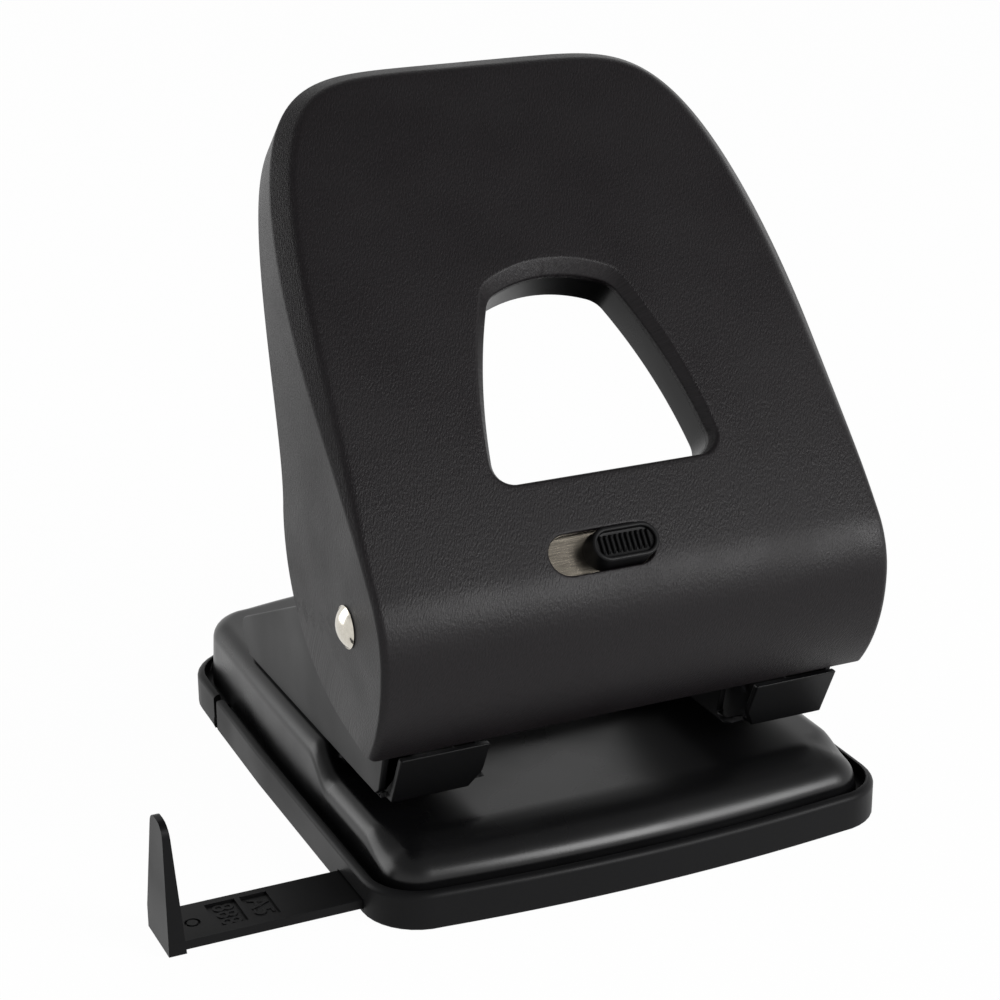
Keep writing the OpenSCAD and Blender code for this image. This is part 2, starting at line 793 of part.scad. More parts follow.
module punch_pin(x) {
    groove = strap_z - 0.3 - clip_t - run_fit;
    difference() {
        union() {
            rod_z(x, hole_y, hole_d / 2, pin_low, head_low + eps);
            rod_z(x, hole_y, pin_head_d / 2, head_low, pin_top - 0.5);
            translate([x, hole_y, pin_top - 0.5])
                cylinder(r1 = pin_head_d / 2, r2 = pin_head_d / 2 - 0.5, h = 0.5);
        }
        difference() {
            rod_z(x, hole_y, hole_d, groove, groove + clip_t + 2 * run_fit);
            rod_z(x, hole_y, hole_d / 2 - 0.6, groove - 1, groove + clip_t + 1);
        }
        along([[x - pin_notch * 1.6, pin_low - eps], [x, pin_low + pin_notch],
            [x + pin_notch * 1.6, pin_low - eps]], hole_y - 9, hole_y + 9);
    }
}

module punch_left() {
    color("#b4b7bb")
        punch_pin(-hole_x);
}

module punch_right() {
    color("#b4b7bb")
        punch_pin(hole_x);
}

module punch_clip(x) {
    z0 = strap_z - 0.3 - clip_t;
    difference() {
        rod_z(x, hole_y, clip_d / 2, z0, z0 + clip_t);
        rod_z(x, hole_y, hole_d / 2 - 0.6 + run_fit, z0 - 1, z0 + clip_t + 1);
        box([x - hole_d / 2 + 0.9, hole_y - clip_d, z0 - 1],
            [x + hole_d / 2 - 0.9, hole_y, z0 + clip_t + 1]);
    }
}

module punch_clip_left() {
    color("#77797d")
        punch_clip(-hole_x);
}

module punch_clip_right() {
    color("#77797d")
        punch_clip(hole_x);
}

// Middle line of the spring, eight points to a turn
coil_n = coil_turns * 8;
coil_rise = coil_top - coil_low - wire_d;
coil_line = [for (i = [0:coil_n]) [coil_r * cos(45 * i), coil_r * sin(45 * i),
    coil_low + wire_d / 2 + coil_rise * i / coil_n]];
coil_gap = min([for (i = [0:coil_n]) for (j = [i + 4:coil_n]) norm(coil_line[i] - coil_line[j])]) - wire_d;

module punch_spring(x) {
    pts = [for (i = [0:coil_n]) for (k = [0:5]) coil_line[i]
        + wire_d / 2 * [cos(60 * k) * cos(45 * i), cos(60 * k) * sin(45 * i), sin(60 * k)]];
    skin = [for (i = [0:coil_n - 1]) for (k = [0:5]) for (h = [0, 1])
        let (a = i * 6 + k, b = a + 6, d = i * 6 + (k + 1) % 6, c = d + 6)
            h == 0 ? [a, d, c] : [a, c, b]];
    translate([x, hole_y, 0])
        polyhedron(pts, concat([[5, 4, 3, 2, 1, 0]], skin, [[for (k = [0:5]) coil_n * 6 + k]]));
}

module punch_spring_left() {
    color("#9b9ea2")
        punch_spring(-hole_x);
}

module punch_spring_right() {
    color("#9b9ea2")
        punch_spring(hole_x);
}

echo(coil_least_gap = coil_gap, stroke = stroke, stroke_per_radian = stroke / (swing * PI / 180));

base_plate();
bracket_left();
bracket_right();
bracket_rivets();
guide_strap_left();
guide_strap_right();
pivot_pin_left();
pivot_pin_right();
pivot_washers();
tray_rear();
handle_shell();
window_liner();
press_bar();
lock_keeper();
lock_plate();
lock_button();
punch_left();
punch_right();
punch_clip_left();
punch_clip_right();
punch_spring_left();
punch_spring_right();
chip_tray();
paper_guide();
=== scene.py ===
"""Dresses a two-hole metal desk punch: textured black handle, drawn steel base, moulded tray and guide.

Lengths inside the classes are millimetres in the part's own frame: x is the width, y goes away from
the user, z is up and the desk is z = 0. Meshes are written in metres.
"""

from __future__ import annotations

import json
import logging
import math
from dataclasses import dataclass
from enum import Enum
from typing import Callable, Iterable, Optional, Sequence

import bmesh
import bpy
import numpy as np
from mathutils import Matrix, Vector
from mathutils.geometry import delaunay_2d_cdt

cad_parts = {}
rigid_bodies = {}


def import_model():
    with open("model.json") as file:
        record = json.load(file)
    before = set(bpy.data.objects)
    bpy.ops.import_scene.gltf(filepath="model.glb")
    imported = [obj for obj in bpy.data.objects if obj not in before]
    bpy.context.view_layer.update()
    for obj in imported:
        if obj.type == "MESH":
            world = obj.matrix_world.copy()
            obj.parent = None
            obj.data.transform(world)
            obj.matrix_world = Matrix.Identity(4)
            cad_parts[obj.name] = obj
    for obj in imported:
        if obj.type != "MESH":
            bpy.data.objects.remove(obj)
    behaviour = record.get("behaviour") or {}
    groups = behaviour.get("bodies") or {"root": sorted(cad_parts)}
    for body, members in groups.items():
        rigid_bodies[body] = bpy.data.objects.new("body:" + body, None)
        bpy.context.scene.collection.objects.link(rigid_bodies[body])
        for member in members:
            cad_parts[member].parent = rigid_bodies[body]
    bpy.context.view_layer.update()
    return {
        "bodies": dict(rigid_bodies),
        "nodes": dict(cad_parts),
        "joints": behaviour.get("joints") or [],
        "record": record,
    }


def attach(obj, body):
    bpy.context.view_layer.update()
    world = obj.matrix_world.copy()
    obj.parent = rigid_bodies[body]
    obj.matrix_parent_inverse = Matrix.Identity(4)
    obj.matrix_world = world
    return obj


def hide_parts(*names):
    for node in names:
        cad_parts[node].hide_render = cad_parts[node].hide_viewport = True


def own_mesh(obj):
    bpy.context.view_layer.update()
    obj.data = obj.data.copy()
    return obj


LOG = logging.getLogger("punch")
MM = 0.001
WHITE = "#ffffff"
# Range that the values of a noise texture mostly keep to.
NOISE_RANGE = (0.3, 0.7)
# Width of the soft clouds in the gloss of every finish.
CLOUD_MM = 22.0
# Edges of a CAD node that are bent by more than this many degrees are rounded.
FOLD_ANGLE = 28.0
# Attribute that holds a point's place on the unrolled handle.
FLAT = "flat"
Point2 = tuple[float, float]
Point3 = tuple[float, float, float]
Loop = list[Point2]
Obj = bpy.types.Object
Tree = bpy.types.NodeTree
Socket = bpy.types.NodeSocket


class Body(Enum):
    """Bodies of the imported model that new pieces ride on."""

    BASE = "base"
    HANDLE = "handle"
    LOCK = "lock"
    TRAY = "tray"
    GUIDE = "guide"


class Side(Enum):
    """Left or right copy of a piece, as the sign of its x."""

    LEFT = -1
    RIGHT = 1


def linear(colour: str) -> tuple[float, float, float, float]:
    """Turns an sRGB hex colour into linear RGBA.

    Args:
        colour: Hex string such as "#1d1e20".

    Returns:
        Linear red, green, blue and an alpha of 1.
    """
    values = [int(colour[i : i + 2], 16) / 255 for i in (1, 3, 5)]
    return (*[v / 12.92 if v <= 0.04045 else ((v + 0.055) / 1.055) ** 2.4 for v in values], 1.0)


def add_node(
    tree: Tree, kind: str, settings: Optional[dict] = None, **links: Socket
) -> bpy.types.Node:
    """Adds one node with its settings, values and links.

    Args:
        tree: Tree that gets the node.
        kind: Node type name.
        settings: Node properties by name; a key that starts with "in:" sets an input's value.
        links: Input names, with "_" for a space, or "n" and a number, and the socket that feeds each.

    Returns:
        The new node.
    """
    node = tree.nodes.new(kind)
    for key, value in (settings or {}).items():
        if key.startswith("in:"):
            name = key[3:]
            node.inputs[int(name) if name.isdigit() else name].default_value = value
        else:
            setattr(node, key, value)
    for key, socket in links.items():
        numbered = key[0] == "n" and key[1:].isdigit()
        tree.links.new(socket, node.inputs[int(key[1:]) if numbered else key.replace("_", " ")])
    return node


def remap(tree: Tree, value: Socket, source: Point2, target: Point2) -> Socket:
    """Adds a node that maps a value from one range to another.

    Args:
        tree: Tree that gets the node.
        value: Socket that feeds it.
        source: Range of the value.
        target: Range of the result.

    Returns:
        Socket of the result.
    """
    ends = dict(zip(("in:From Min", "in:From Max", "in:To Min", "in:To Max"), (*source, *target)))
    return add_node(tree, "ShaderNodeMapRange", ends, Value=value).outputs["Result"]


def bare_tree(owner: bpy.types.Material | bpy.types.World) -> Tree:
    """Empties the node tree of a material or world.

    Args:
        owner: The material or world.

    Returns:
        Its tree, without nodes.
    """
    owner.use_nodes = True
    owner.node_tree.nodes.clear()
    return owner.node_tree


def new_object(name: str, data: bpy.types.ID) -> Obj:
    """Puts a new object into the scene.

    Args:
        name: Name of the object.
        data: Its mesh, curve, camera or light.

    Returns:
        The object, at the origin.
    """
    obj = bpy.data.objects.new(name, data)
    bpy.context.scene.collection.objects.link(obj)
    return obj


@dataclass(frozen=True)
class Finish:
    """A surface finish: base colour, gloss and the grain that its making leaves."""

    name: str
    colour: str
    roughness: float
    metallic: float = 0.0
    specular: float = 0.5
    grain_mm: float = 0.5
    grain_depth_mm: float = 0.02
    mottle: float = 0.12
    gloss_spread: float = 0.06
    stretch: Point3 = (1.0, 1.0, 1.0)
    turn: float = 0.0
    flat: bool = False

    def material(self) -> bpy.types.Material:
        """Builds the node material, once for each finish.

        Returns:
            The material.
        """
        known = bpy.data.materials.get(self.name)
        if known:
            return known
        made = bpy.data.materials.new(self.name)
        tree = bare_tree(made)
        if self.flat:
            where = add_node(tree, "ShaderNodeAttribute", {"attribute_name": FLAT}).outputs["Vector"]
        else:
            where = add_node(tree, "ShaderNodeTexCoord").outputs["Object"]
        turn = (0.0, 0.0, math.radians(self.turn))
        turned = add_node(
            tree, "ShaderNodeMapping",
            {"vector_type": "TEXTURE", "in:Rotation": turn, "in:Scale": self.stretch}, Vector=where,
        )
        grain = add_node(
            tree, "ShaderNodeTexNoise",
            {"in:Scale": 1 / (self.grain_mm * MM), "in:Detail": 3.0, "in:Roughness": 0.6},
            Vector=turned.outputs["Vector"],
        ).outputs["Fac"]
        cloud = add_node(
            tree, "ShaderNodeTexNoise", {"in:Scale": 1 / (CLOUD_MM * MM), "in:Detail": 2.0}, Vector=where
        ).outputs["Fac"]
        base = linear(self.colour)[:3]
        low, high = ((*(min(1.0, c * k) for c in base), 1.0) for k in (1 - self.mottle, 1 + self.mottle))
        tone = add_node(
            tree, "ShaderNodeMix", {"data_type": "RGBA", "in:6": low, "in:7": high},
            n0=remap(tree, grain, NOISE_RANGE, (0.0, 1.0)),
        )
        gloss = (self.roughness - self.gloss_spread, self.roughness + self.gloss_spread)
        bump = add_node(
            tree, "ShaderNodeBump", {"in:Strength": 1.0, "in:Distance": self.grain_depth_mm * MM},
            Height=grain,
        )
        shader = add_node(
            tree, "ShaderNodeBsdfPrincipled",
            {"in:Metallic": self.metallic, "in:Specular IOR Level": self.specular},
            Base_Color=tone.outputs[2], Roughness=remap(tree, cloud, NOISE_RANGE, gloss),
            Normal=bump.outputs["Normal"],
        )
        add_node(tree, "ShaderNodeOutputMaterial", None, Surface=shader.outputs["BSDF"])
        return made


# Polyester powder coat, baked on, with a fine slanted grain that follows the sheet round its bends: dark
# in the middle of the panel and pale where it is seen at a slant.
POWDER_COAT = Finish(
    "powder_coat_fine_black", "#110e10", 0.42, specular=0.21, grain_mm=0.36, grain_depth_mm=0.13,
    mottle=0.5, stretch=(2.4, 1.0, 1.0), turn=67.0, flat=True,
)
# A smoother black coat on the folded brackets.
BRACKET_COAT = Finish(
    "powder_coat_bracket_black", "#080809", 0.4, specular=0.14, grain_mm=0.4, mottle=0.15
)
# Stoved satin enamel on the drawn base: smooth, with long soft highlights over the drawn shoulders.
SATIN_ENAMEL = Finish(
    "satin_enamel_black", "#0a0a0b", 0.29, specular=0.32, grain_mm=0.7, grain_depth_mm=0.006, mottle=0.1
)
# Injection-moulded ABS with a spark-eroded grain, for the tray.
GRAINED_ABS = Finish(
    "abs_spark_grain_black", "#0f0f10", 0.42, specular=0.11, grain_mm=0.3, grain_depth_mm=0.012
)
# Smoother moulded ABS for the paper guide and the slide button.
SATIN_ABS = Finish(
    "abs_satin_black", "#0b0b0c", 0.4, specular=0.12, grain_mm=0.35, grain_depth_mm=0.008, mottle=0.1
)
# Smooth moulded liner inside the window, which takes almost no grain.
LINER_ABS = Finish(
    "abs_smooth_black", "#0a0a0b", 0.3, specular=0.18, grain_mm=0.8, grain_depth_mm=0.003, mottle=0.06
)
# Nickel plate over a cold-headed rivet: warm bright metal with faint forming marks.
NICKEL = Finish(
    "nickel_plate_bright", "#cdc8bd", 0.2, metallic=1.0, grain_mm=0.6, grain_depth_mm=0.006, mottle=0.06
)
# Zinc-plated strip, brushed along its length before plating. Its colour is darker than bright zinc: painted
# shade for the recessed slot that the plate sits in.
BRUSHED_ZINC_PAINTED_SHADE = Finish(
    "zinc_plate_brushed", "#7b756b", 0.24, metallic=1.0, grain_mm=0.25, grain_depth_mm=0.012,
    mottle=0.35, stretch=(16.0, 1.0, 1.0),
)
# Ground tool steel of the punches, straps and press bar.
TOOL_STEEL = Finish(
    "tool_steel_ground", "#8f9194", 0.32, metallic=1.0, grain_mm=0.3, grain_depth_mm=0.006,
    stretch=(1.0, 1.0, 6.0),
)
# Drawn spring wire with its grey drawing film.
SPRING_WIRE = Finish(
    "spring_wire_drawn", "#7b7d80", 0.38, metallic=1.0, grain_mm=0.3, grain_depth_mm=0.004, mottle=0.1
)
# Natural nylon washers, milky and waxy.
NYLON = Finish("nylon_natural", "#d5d2c6", 0.45, grain_mm=0.8, grain_depth_mm=0.006, mottle=0.05)


def unit(angle: float) -> np.ndarray:
    """Unit vector at an angle in degrees."""
    return np.array([math.cos(math.radians(angle)), math.sin(math.radians(angle))])


def smoothstep(value: float, low: float, high: float) -> float:
    """Soft step from 0 at low to 1 at high."""
    t = max(0.0, min(1.0, (value - low) / (high - low)))
    return t * t * (3 - 2 * t)


def arc(centre: Point2, radius: float, start: float, end: float, steps: int) -> Loop:
    """Points of an arc.

    Args:
        centre: Centre of the arc.
        radius: Radius.
        start: First angle in degrees.
        end: Last angle in degrees.
        steps: Number of steps; the result has one point more.

    Returns:
        The points in order.
    """
    angles = [math.radians(start + (end - start) * i / steps) for i in range(steps + 1)]
    return [(centre[0] + radius * math.cos(a), centre[1] + radius * math.sin(a)) for a in angles]


def mirrored(right: Loop, closed: bool = True) -> Loop:
    """Adds the left half to a line whose right half ends, and if closed also starts, in the middle."""
    return right + [(-x, y) for x, y in reversed(right[int(closed) : -1])]


def fillet(points: Sequence[Point2], radii: Sequence[float], steps: int) -> Loop:
    """Rounds the inner corners of an open line.

    Args:
        points: The line's points.
        radii: One radius for each inner point.
        steps: Steps of each rounding.

    Returns:
        The rounded line, whose number of points doesn't depend on the radii.
    """
    made: Loop = [points[0]]
    for before, corner, after, radius in zip(points[:-2], points[1:-1], points[2:], radii):
        c = np.array(corner, float)
        a, b = np.array(before, float) - c, np.array(after, float) - c
        la, lb = np.linalg.norm(a), np.linalg.norm(b)
        a, b = a / la, b / lb
        half = math.acos(max(-1.0, min(1.0, float(a @ b)))) / 2
        cut = min(radius / math.tan(half), 0.499 * la, 0.499 * lb)
        start, end = c + cut * a, c + cut * b
        # A rational curve with this weight is a true arc.
        w = math.sin(half)
        for i in range(steps + 1):
            t = i / steps
            k = (1 - t) ** 2 + 2 * w * t * (1 - t) + t * t
            p = ((1 - t) ** 2 * start + 2 * w * t * (1 - t) * c + t * t * end) / k
            made.append((float(p[0]), float(p[1])))
    made.append(points[-1])
    return made


def resample(loop: Sequence[Point2], spacing: float, closed: bool = True) -> Loop:
    """Puts points at even distances along a line.

    Args:
        loop: The line.
        spacing: Distance wanted between points.
        closed: Whether the line returns to its start.

    Returns:
        The even points; a closed line doesn't repeat its first.
    """
    pts = np.array(list(loop) + ([loop[0]] if closed else []), float)
    steps = np.linalg.norm(np.diff(pts, axis=0), axis=1)
    run = np.concatenate([[0.0], np.cumsum(steps)])
    count = max(8, int(round(run[-1] / spacing)))
    at = np.linspace(0, run[-1], count + 1)
    even = np.stack([np.interp(at, run, pts[:, i]) for i in (0, 1)], axis=1)
    return [tuple(p) for p in (even[:-1] if closed else even)]


def inside(point: Point2, loop: Sequence[Point2]) -> bool:
    """Tells whether a point lies within a closed loop.

    Args:
        point: The point.
        loop: The loop.

    Returns:
        True for a point within.
    """
    x, y = point
    hit = False
    for (x0, y0), (x1, y1) in zip(loop, list(loop[1:]) + [loop[0]]):
        if (y0 > y) != (y1 > y) and x < (x1 - x0) * (y - y0) / (y1 - y0) + x0:
            hit = not hit
    return hit


def seeds_within(points: Iterable[Point2], outer: Loop, holes: Sequence[Loop], gap: float) -> Loop:
    """Picks the points that can shape a filled outline.

    Args:
        points: Flat points.
        outer: Outline that they have to be in.
        holes: Loops that they have to be out of.
        gap: Least distance from the points of all loops.

    Returns:
        The points that stay.
    """
    edge = np.concatenate([np.array(loop, float) for loop in (outer, *holes)])
    kept = [p for p in points if inside(p, outer) and not any(inside(p, h) for h in holes)]
    return [p for p in kept if np.min(np.hypot(*(edge - p).T)) > gap]


def normals_2d(loop: Sequence[Point2], closed: bool = True) -> np.ndarray:
    """Left-hand unit normals of a line, one for each point.

    Args:
        loop: The line; a closed one that runs anticlockwise has its left hand inside.
        closed: Whether the line returns to its start.

    Returns:
        Array of normals.
    """
    p = np.array(loop, float)
    t = np.roll(p, -1, axis=0) - np.roll(p, 1, axis=0) if closed else np.gradient(p, axis=0)
    t /= np.maximum(np.linalg.norm(t, axis=1, keepdims=True), 1e-9)
    return np.stack([-t[:, 1], t[:, 0]], axis=1)


class MeshMaker:
    """Collects faces of one piece in millimetres and turns them into an object."""

    def __init__(self, name: str) -> None:
        """Starts an empty piece.

        Args:
            name: Name of the piece.
        """
        self.name = name
        self.points: list[Point3] = []
        self.faces: list[tuple[int, ...]] = []

    def add(self, points: Iterable[Sequence[float]]) -> list[int]:
        """Adds points.

        Args:
            points: Points in millimetres.

        Returns:
            Their numbers.
        """
        first = len(self.points)
        self.points.extend((float(p[0]), float(p[1]), float(p[2])) for p in points)
        return list(range(first, len(self.points)))

    def loft(self, rows: Sequence[Sequence[Point3]], closed: bool = True, around: bool = False) -> None:
        """Joins rows of equal length with four-sided faces.

        Args:
            rows: Rows of points.
            closed: Whether each row returns to its start.
            around: Whether the last row joins the first.
        """
        numbers = [self.add(r) for r in rows]
        if around:
            numbers.append(numbers[0])
        for a, b in zip(numbers[:-1], numbers[1:]):
            n = len(a)
            for i in range(n if closed else n - 1):
                j = (i + 1) % n
                self.faces.append((a[i], a[j], b[j], b[i]))

    def cap(self, row: Sequence[Point3]) -> None:
        """Closes a ring of points with one face."""
        self.faces.append(tuple(self.add(row)))

    def solid(self, rows: Sequence[Sequence[Point3]], closed: bool = True) -> None:
        """Joins rows as loft does and closes the first and the last.

        Args:
            rows: Rows of points.
            closed: Whether each row returns to its start.
        """
        self.loft(rows, closed)
        self.cap(rows[0])
        self.cap(rows[-1])

    def fill(
        self, outer: Loop, holes: Sequence[Loop], seeds: Iterable[Point2],
        place: Callable[[float, float], Point3],
    ) -> None:
        """Fills a flat outline that may have holes, and puts the result in space.

        Args:
            outer: Outer loop, anticlockwise.
            holes: Inner loops.
            seeds: Extra points that give the surface its shape.
            place: Turns flat coordinates into a place in space.
        """
        flat: list[Vector] = []
        edges: list[tuple[int, int]] = []
        for loop in [outer, *holes]:
            first = len(flat)
            flat.extend(Vector(p) for p in loop)
            edges.extend((first + i, first + (i + 1) % len(loop)) for i in range(len(loop)))
        flat.extend(Vector(p) for p in seeds)
        found, _, faces, *_ = delaunay_2d_cdt(flat, edges, [], 1, 1e-7)
        numbers = self.add(place(v.x, v.y) for v in found)
        for face in faces:
            middle = sum((found[i] for i in face), Vector((0, 0))) / len(face)
            centre = (middle.x, middle.y)
            if inside(centre, outer) and not any(inside(centre, h) for h in holes):
                self.faces.append(tuple(numbers[i] for i in face))

    def make(self, finish: Finish, smooth: float = 32.0, weld: float = 1e-4) -> Obj:
        """Writes the mesh, welds it and gives it a finish.

        Args:
            finish: Surface finish.
            smooth: Edges bent by more than this many degrees stay sharp.
            weld: Points nearer than this many millimetres become one.

        Returns:
            The new object, at the origin.
        """
        mesh = bpy.data.meshes.new(self.name)
        mesh.from_pydata([tuple(c * MM for c in p) for p in self.points], [], self.faces)
        bm = bmesh.new()
        bm.from_mesh(mesh)
        bmesh.ops.remove_doubles(bm, verts=bm.verts, dist=weld * MM)
        bmesh.ops.dissolve_degenerate(bm, edges=bm.edges, dist=weld * MM)
        bmesh.ops.recalc_face_normals(bm, faces=bm.faces)
        bm.to_mesh(mesh)
        bm.free()
        mesh.materials.append(finish.material())
        obj = new_object(self.name, mesh)
        shade(obj, smooth)
        return obj


def shade(obj: Obj, angle: float) -> None:
    """Shades a mesh smooth, apart from its sharp edges.

    Args:
        obj: Object with a mesh.
        angle: Edges bent by more than this many degrees stay sharp.
    """
    obj.data.polygons.foreach_set("use_smooth", [True] * len(obj.data.polygons))
    obj.data.set_sharp_from_angle(angle=math.radians(angle))
    obj.data.update()


def settle(obj: Obj) -> None:
    """Turns an object's modifiers into plain mesh.

    Args:
        obj: Object with modifiers, which has none afterwards.
    """
    graph = bpy.context.evaluated_depsgraph_get()
    old, seen = obj.data, obj.evaluated_get(graph)
    made = bpy.data.meshes.new_from_object(seen, preserve_all_data_layers=True, depsgraph=graph)
    obj.modifiers.clear()
    obj.data = made
    bpy.data.meshes.remove(old)
    obj.data.name = obj.name


def add_modifier(obj: Obj, kind: str, **settings: object) -> bpy.types.Modifier:
    """Adds a modifier.

    Args:
        obj: Object that gets it.
        kind: Modifier type name.
        settings: Properties by name.

    Returns:
        The modifier.
    """
    made = obj.modifiers.new(kind.lower(), kind)
    for key, value in settings.items():
        setattr(made, key, value)
    return made


def thicken(obj: Obj, sheet: float, aim: Point3, out: Point3, even: bool) -> None:
    """Gives a surface the thickness of its sheet, behind its outer face.

    Args:
        obj: The surface.
        sheet: Thickness in millimetres.
        aim: A place on the surface in millimetres.
        out: Where the outer face looks there.
        even: Whether the sheet keeps its thickness at sharp folds.
    """
    near = min(obj.data.polygons, key=lambda f: (f.center - Vector(aim) * MM).length)
    if near.normal.dot(Vector(out)) < 0:
        obj.data.flip_normals()
    add_modifier(obj, "SOLIDIFY", thickness=sheet * MM, offset=-1.0, use_even_offset=even)
    settle(obj)


def rounded_copy(
    source: Obj, name: str, finish: Finish, radius: float, steps: int = 3,
    share: Optional[Callable[[Vector, float], float]] = None,
) -> Obj:
    """Copies a CAD node and rounds its edges.

    Args:
        source: The node's object, which isn't changed.
        name: Name of the copy.
        finish: Surface finish.
        radius: Edge rounding in millimetres.
        steps: Steps of the rounding.
        share: Gives an edge's share of the rounding from its middle and how far its faces look outwards.

    Returns:
        The copy, at the origin.
    """
    mesh = bpy.data.meshes.new(name)
    fold = math.radians(FOLD_ANGLE)
    bm = bmesh.new()
    bm.from_mesh(source.data)
    bmesh.ops.remove_doubles(bm, verts=bm.verts, dist=2e-6)
    bmesh.ops.dissolve_limit(
        bm, angle_limit=math.radians(0.6), verts=bm.verts, edges=bm.edges, use_dissolve_boundaries=False
    )
    if share:
        weight = bm.edges.layers.float.new("bevel_weight_edge")
        for edge in bm.edges:
            if len(edge.link_faces) == 2 and edge.calc_face_angle(0.0) > fold:
                mid = (edge.verts[0].co + edge.verts[1].co) / 2
                flat = Vector((mid.x, mid.y, 0.0)).normalized()
                edge[weight] = share(mid / MM, sum(f.normal.dot(flat) for f in edge.link_faces))
    bm.to_mesh(mesh)
    bm.free()
    mesh.materials.append(finish.material())
    mesh.polygons.foreach_set("use_smooth", [True] * len(mesh.polygons))
    obj = new_object(name, mesh)
    add_modifier(
        obj, "BEVEL", width=radius * MM, segments=steps, limit_method="WEIGHT" if share else "ANGLE",
        angle_limit=fold, use_clamp_overlap=not share, harden_normals=False, miter_outer="MITER_ARC",
    )
    settle(obj)
    shade(obj, 40.0)
    # Large flat faces keep their own normal, so that the rounding doesn't bend the light on them.
    add_modifier(obj, "WEIGHTED_NORMAL", mode="FACE_AREA", weight=80, keep_sharp=True)
    settle(obj)
    return obj


def scatter(spots: MeshMaker, shape: MeshMaker, finish: Finish) -> Obj:
    """Puts a copy of a shape on every point with a node tree, and bakes the copies to plain mesh.

    Args:
        spots: Points that carry the copies, under the name of the piece.
        shape: Shape to repeat, drawn about the origin.
        finish: Surface finish of the copies.

    Returns:
        The piece.
    """
    obj, part = spots.make(finish), shape.make(finish)
    tree = bpy.data.node_groups.new(f"{obj.name}_repeat", "GeometryNodeTree")
    tree.interface.new_socket("Geometry", in_out="INPUT", socket_type="NodeSocketGeometry")
    shape_in = tree.interface.new_socket("Shape", in_out="INPUT", socket_type="NodeSocketObject")
    tree.interface.new_socket("Geometry", in_out="OUTPUT", socket_type="NodeSocketGeometry")
    inputs = add_node(tree, "NodeGroupInput")
    info = add_node(tree, "GeometryNodeObjectInfo", None, Object=inputs.outputs["Shape"])
    points = add_node(tree, "GeometryNodeMeshToPoints", None, Mesh=inputs.outputs["Geometry"])
    copies = add_node(
        tree, "GeometryNodeInstanceOnPoints", None,
        Points=points.outputs["Points"], Instance=info.outputs["Geometry"],
    )
    real = add_node(tree, "GeometryNodeRealizeInstances", None, Geometry=copies.outputs["Instances"])
    dressed = add_node(
        tree, "GeometryNodeSetMaterial", {"in:Material": finish.material()},
        Geometry=real.outputs["Geometry"],
    )
    add_node(tree, "NodeGroupOutput", None, Geometry=dressed.outputs["Geometry"])
    add_modifier(obj, "NODES", node_group=tree)[shape_in.identifier] = part
    settle(obj)
    bpy.data.node_groups.remove(tree)
    bpy.data.objects.remove(part)
    shade(obj, 35.0)
    return obj


def seat(obj: Obj, body: Body, slot: str, *nodes: str) -> Obj:
    """Puts a finished piece on its body.

    Args:
        obj: The piece.
        body: Body that it rides on.
        slot: Material slot of the record; not used.
        nodes: CAD nodes that it stands for.

    Returns:
        The piece.
    """
    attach(obj, body.value)
    if nodes:
        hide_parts(*nodes)
    LOG.info("%s: %d faces on %s", obj.name, len(obj.data.polygons), body.value)
    return obj


@dataclass
class Assembly:
    """A sub-assembly of the punch, built round the CAD nodes of the loaded frame."""

    frame: dict

    def build(self) -> None:
        """Makes and seats the pieces."""
        raise NotImplementedError

    def node(self, name: str) -> Obj:
        """The object of a CAD node."""
        return self.frame["nodes"][name]

    def dress(self, finish: Finish, *nodes: str) -> None:
        """Gives CAD nodes that keep their shape a finish.

        Args:
            finish: Surface finish.
            nodes: Node names.
        """
        for name in nodes:
            slots = self.node(name).data.materials
            slots.clear()
            slots.append(finish.material())
            LOG.info("%s: dressed in %s", name, finish.name)


